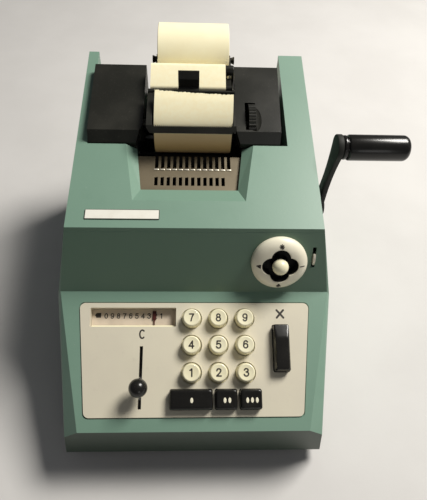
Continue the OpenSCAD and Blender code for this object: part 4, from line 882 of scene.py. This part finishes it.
off_roll = roll_centre + [-roll_radius - 0.8, -3.0]
off_platen = bow(platen, wrap, leave, leave, 1)[0]
strip_path = np.concatenate([
    [off_roll, (off_roll + guide + [4.4, 0.8]) / 2 + [0.6, 0]],
    bow(guide, guide_wrap, 10, 118, 12),
    bow(chute_edge, chute_wrap, 120, 200, 8),
    bow(platen, wrap, 25, leave, 60)[:-1],
    smooth_line([off_platen, tear + [0.9, -6.0], tear + [2.3, -1.5], tear + [8.4, 4.7], tear + [16.4, 10.2],
                 tear + [23.6, 13.6]], 50)])
run = np.concatenate([[0], np.cumsum(np.linalg.norm(np.diff(strip_path, axis=0), axis=1))])
on_guide, on_platen = run[3], run[22]


def torn(face):
    """The strip creeps aside over the guide bar and back; its end is torn and curls a little.

    ragged is a sum of four sines of x, askew climbs evenly from one edge to the
    other, and lift goes with the square of the distance from the middle.
    """
    x = face[..., 0]
    at = np.broadcast_to(run[:, None], x.shape)
    aside = np.interp(at, [0, on_guide, on_platen, on_platen + 40, run[-1] - 40, run[-1]],
                      [0, -creep, -creep, 0, 0, 0.9])
    free = np.clip((at - run[-1] + free_run) / free_run, 0, 1)
    ragged = 0.4 * np.sin(x * 4.05) + 0.28 * np.sin(x * 1.9 + 1.0)
    ragged += 0.35 * np.sin(x * 0.55) + 0.25 * np.sin(x * 7.3 + 2)
    askew = 3.6 * (x - paper_x + half_width) / paper_width
    back = free ** 1.6 * askew - np.clip((at - run[-1] + 3) / 3, 0, 1) * ragged * 0.6
    lift = 0.5 * free * ((x - paper_x) / half_width) ** 2
    return face + np.stack([aside, -0.95 * back, -0.25 * back + lift], -1)


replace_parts(swept("paper_web", strip_path, "base", 0.25, 90, torn), "paper_strip")


def along_x(points, start, centre):
    """Lays a piece made about its own z along X: (start + z, centre y + x, centre z + y), in metres."""
    return (np.roll(points, 1, axis=-1) + [start, *centre]) * MM


turns = Finish("paper roll", Roughness=0.82)
roll_x, roll_y, roll_z = turns.axes()
from_axis = ((roll_y - roll_centre[0] * MM) ** 2.0 + (roll_z - roll_centre[1] * MM) ** 2.0) ** 0.5
layer = turns.node("ShaderNodeMath", {"operation": "SINE"}, [from_axis * 9000.0]) * 0.5 + 0.5
roll_end = (roll_x - paper_x * MM).size().ease(half_width * MM - 0.0004, half_width * MM - 0.0001)
roll_shade = turns.blend(turns.noise(30.0, 5.0).ease(0.35, 0.75), paper_cream, roll_worn)
turns.feed(Base_Color=turns.blend(layer * roll_end * 0.6, roll_shade, roll_seam),
           Roughness=0.78 + layer * 0.1)
turns.bump(turns.noise(350.0, 4.0) + layer * roll_end, 0.00005, 0.5)

# Half of the roll's section, from its bore out to its rim, is mirrored to close the other end
half_roll = np.array([[core_radius, -half_width], [7.0, -half_width], [8.0, -half_width + 0.5],
                      [roll_radius - 0.4, -half_width], [roll_radius, -half_width + 0.4]])
roll_profile = np.concatenate([half_roll, half_roll[::-1] * [1, -1], half_roll[:1]])
points, faces = turned(roll_profile, 128)
supply = new_piece("paper_supply", along_x(points, paper_x, roll_centre), faces)
dress(supply, turns, "roll", "paper", "paper_roll")
swept("paper_tail", bow(roll_centre, roll_radius + 0.12, 150, 188, 24), "roll", 0.22, 12)

# ----------------------------------------------------------
# Paper carriage: rubber platen on a steel shaft with a knurled thumbwheel, a
# saw-edged tear bar, a bent sheet chute and the bracket that holds the roll.
rubber_black, rubber_talc = (0.02, 0.02, 0.019), (0.05, 0.048, 0.044)
blued, blued_film = (0.06, 0.058, 0.05), (0.11, 0.105, 0.09)
rubber = Finish("platen rubber", Roughness=0.7)
rubber.mottle(rubber.noise(60.0, 5.0), rubber_black, rubber_talc, 0.4, 0.8, rough=0.62, spread=0.2)
rubber.bump(rubber.noise(900.0), 0.00004, 0.6)
dark_steel = Finish("blackened steel", Metallic=0.85, Roughness=0.35)
dark_steel.mottle(dark_steel.noise(80.0, 5.0), blued, blued_film, rough=0.28, spread=0.25)
dark_steel.bump(dark_steel.noise(700.0), 0.00004, 0.5)
for node in ("platen_roller", "feed_roller", "ink_roller", "rubber_feet"):
    coat(nodes[node], rubber)
for node in ("platen_shaft", "roll_spindle"):
    coat(nodes[node], dark_steel)
for node, name, wide, body, slot in (("thumbwheel", "knurled_wheel", 0.25, "platen", "black_plastic"),
                                     ("tear_bar", "saw_edge", 0.15, "base", "steel"),
                                     ("paper_chute", "chute", 0.2, "base", "steel"),
                                     ("paper_finger", "paper_tab", 0.4, "base", "black_plastic"),
                                     ("roll_bracket", "roll_arms", 0.4, "base", "steel")):
    rounded_copy(node, name, wide, 0.15, satin_black, body, slot)

# ----------------------------------------------------------
# Crank: a waisted black arm keyed to the main shaft, with a raised boss round
# the shaft's end and a moulded grip that turns on a riveted pin.
crank_hub, crank_tip = hinge_at["crank_swing"][1:], hinge_at["grip_turn"][1:]
arm_start, arm_thick, waist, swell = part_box("crank_arm")[0].x / MM, 4.5, 5.6, 4.3
boss_radius, boss_bore, boss_low, boss_high = 8.0, 4.0, 4.3, 7.0
grip_start, grip_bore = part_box("crank_grip")[0].x / MM, 3.05
grip_radius, grip_length, grip_round = 9.8, 51.4, 5.0
arm_dark, arm_film = (0.012, 0.013, 0.011), (0.026, 0.027, 0.023)


def arm_outline(inset):
    """Waisted link: half-width waist + swell (2t - 1)^2 from hub (t = 0) to tip (t = 1), with round ends."""
    t = np.linspace(0, 1, 25)[:, None]
    wide = waist + swell * (2 * t - 1) ** 2 - inset
    way = crank_tip - crank_hub
    middle = crank_hub + t * way
    way, side = way / np.linalg.norm(way), np.array([-way[1], way[0]]) / np.linalg.norm(way)
    a = np.linspace(0, np.pi, 15)[1:-1, None]
    tip_cap = crank_tip + wide[-1] * (np.cos(a) * side + np.sin(a) * way)
    hub_cap = crank_hub - wide[0] * (np.cos(a) * side + np.sin(a) * way)
    return np.concatenate([middle + wide * side, tip_cap, (middle - wide * side)[::-1], hub_cap])


arm_black = Finish("arm black spray", Specular_IOR_Level=0.25)
arm_black.mottle(arm_black.noise(60.0, 5.0), arm_dark, arm_film, rough=0.5, spread=0.2)
arm_black.bump(arm_black.noise(700.0, 3.0), 0.00005, 0.6)
arm_layers = ((0.9, -0.05), (0.25, 0.15), (0, 0.8),
              (0, arm_thick - 0.8), (0.25, arm_thick - 0.2), (0.9, arm_thick))
points, faces = stacked([(arm_outline(inset), height) for inset, height in arm_layers])
arm = new_piece("crank_lever", along_x(points, arm_start, (0, 0)), faces)
dress(arm, arm_black, "crank", "black_paint", "crank_arm")
points, faces = turned([[boss_bore, boss_low], [boss_radius, boss_low], [boss_radius, boss_high - 0.7],
                        [boss_radius - 0.6, boss_high - 0.1], [boss_bore + 0.5, boss_high],
                        [boss_bore, boss_high - 0.4], [boss_bore, boss_low]], 48)
boss = new_piece("crank_boss", along_x(points, arm_start, crank_hub), faces)
dress(boss, arm_black, "crank", "black_paint")

# Grip: a collar, a groove and a straight barrel with a domed end, as (radius, distance) from the arm
grip_bend = np.radians(np.linspace(0, 90, 10))
grip_profile = np.concatenate([
    [[grip_bore, 0], [8.2, 0], [8.9, 0.3], [9.2, 0.9], [9.2, 2.4], [8.9, 2.9], [8.2, 3.2], [8.2, 3.6],
     [8.9, 3.9], [9.5, 4.4], [grip_radius, 5.2]],
    np.stack([grip_radius - grip_round + grip_round * np.cos(grip_bend),
              grip_length - grip_round + grip_round * np.sin(grip_bend)], -1), [[0, grip_length]]])
points, faces = turned(grip_profile, 72)
grip = new_piece("turning_grip", along_x(points, grip_start, crank_tip), faces)
dress(grip, gloss, "grip", "black_plastic", "crank_grip")

# ----------------------------------------------------------
# Base and works: zinc-plated pressings, ground shafts and gears on brass
# bushes; they show through the printing window and past the paper.
zinc_light, zinc_dark = (0.34, 0.335, 0.31), (0.25, 0.245, 0.225)
brass_bright, brass_dull = (0.62, 0.44, 0.18), (0.45, 0.31, 0.12)
zinc = Finish("zinc plate", Metallic=0.9, Roughness=0.42)
zinc.mottle(zinc.noise(45.0, 3.0), zinc_light, zinc_dark, 0.35, 0.7, rough=0.34, spread=0.2)
zinc.bump(zinc.noise(400.0), 0.00004)
brass = Finish("brass bush", Metallic=1.0, Roughness=0.3)
brass.mottle(brass.noise(160.0, 4.0), brass_bright, brass_dull)
brass.bump(brass.noise(700.0), 0.00003)
for finish, coated in ((zinc, ("base_plate", "frame_left", "frame_right", "key_guide_plate", "pin_carriage")),
                       (steel, ("foot_screws", "tie_rods", "carriage_rods", "main_shaft", "drive_sector",
                                "cam_shaft")),
                       (dark_steel, ("grip_pin",)), (brass, ("shaft_bushes",))):
    for node in coated:
        coat(nodes[node], finish)
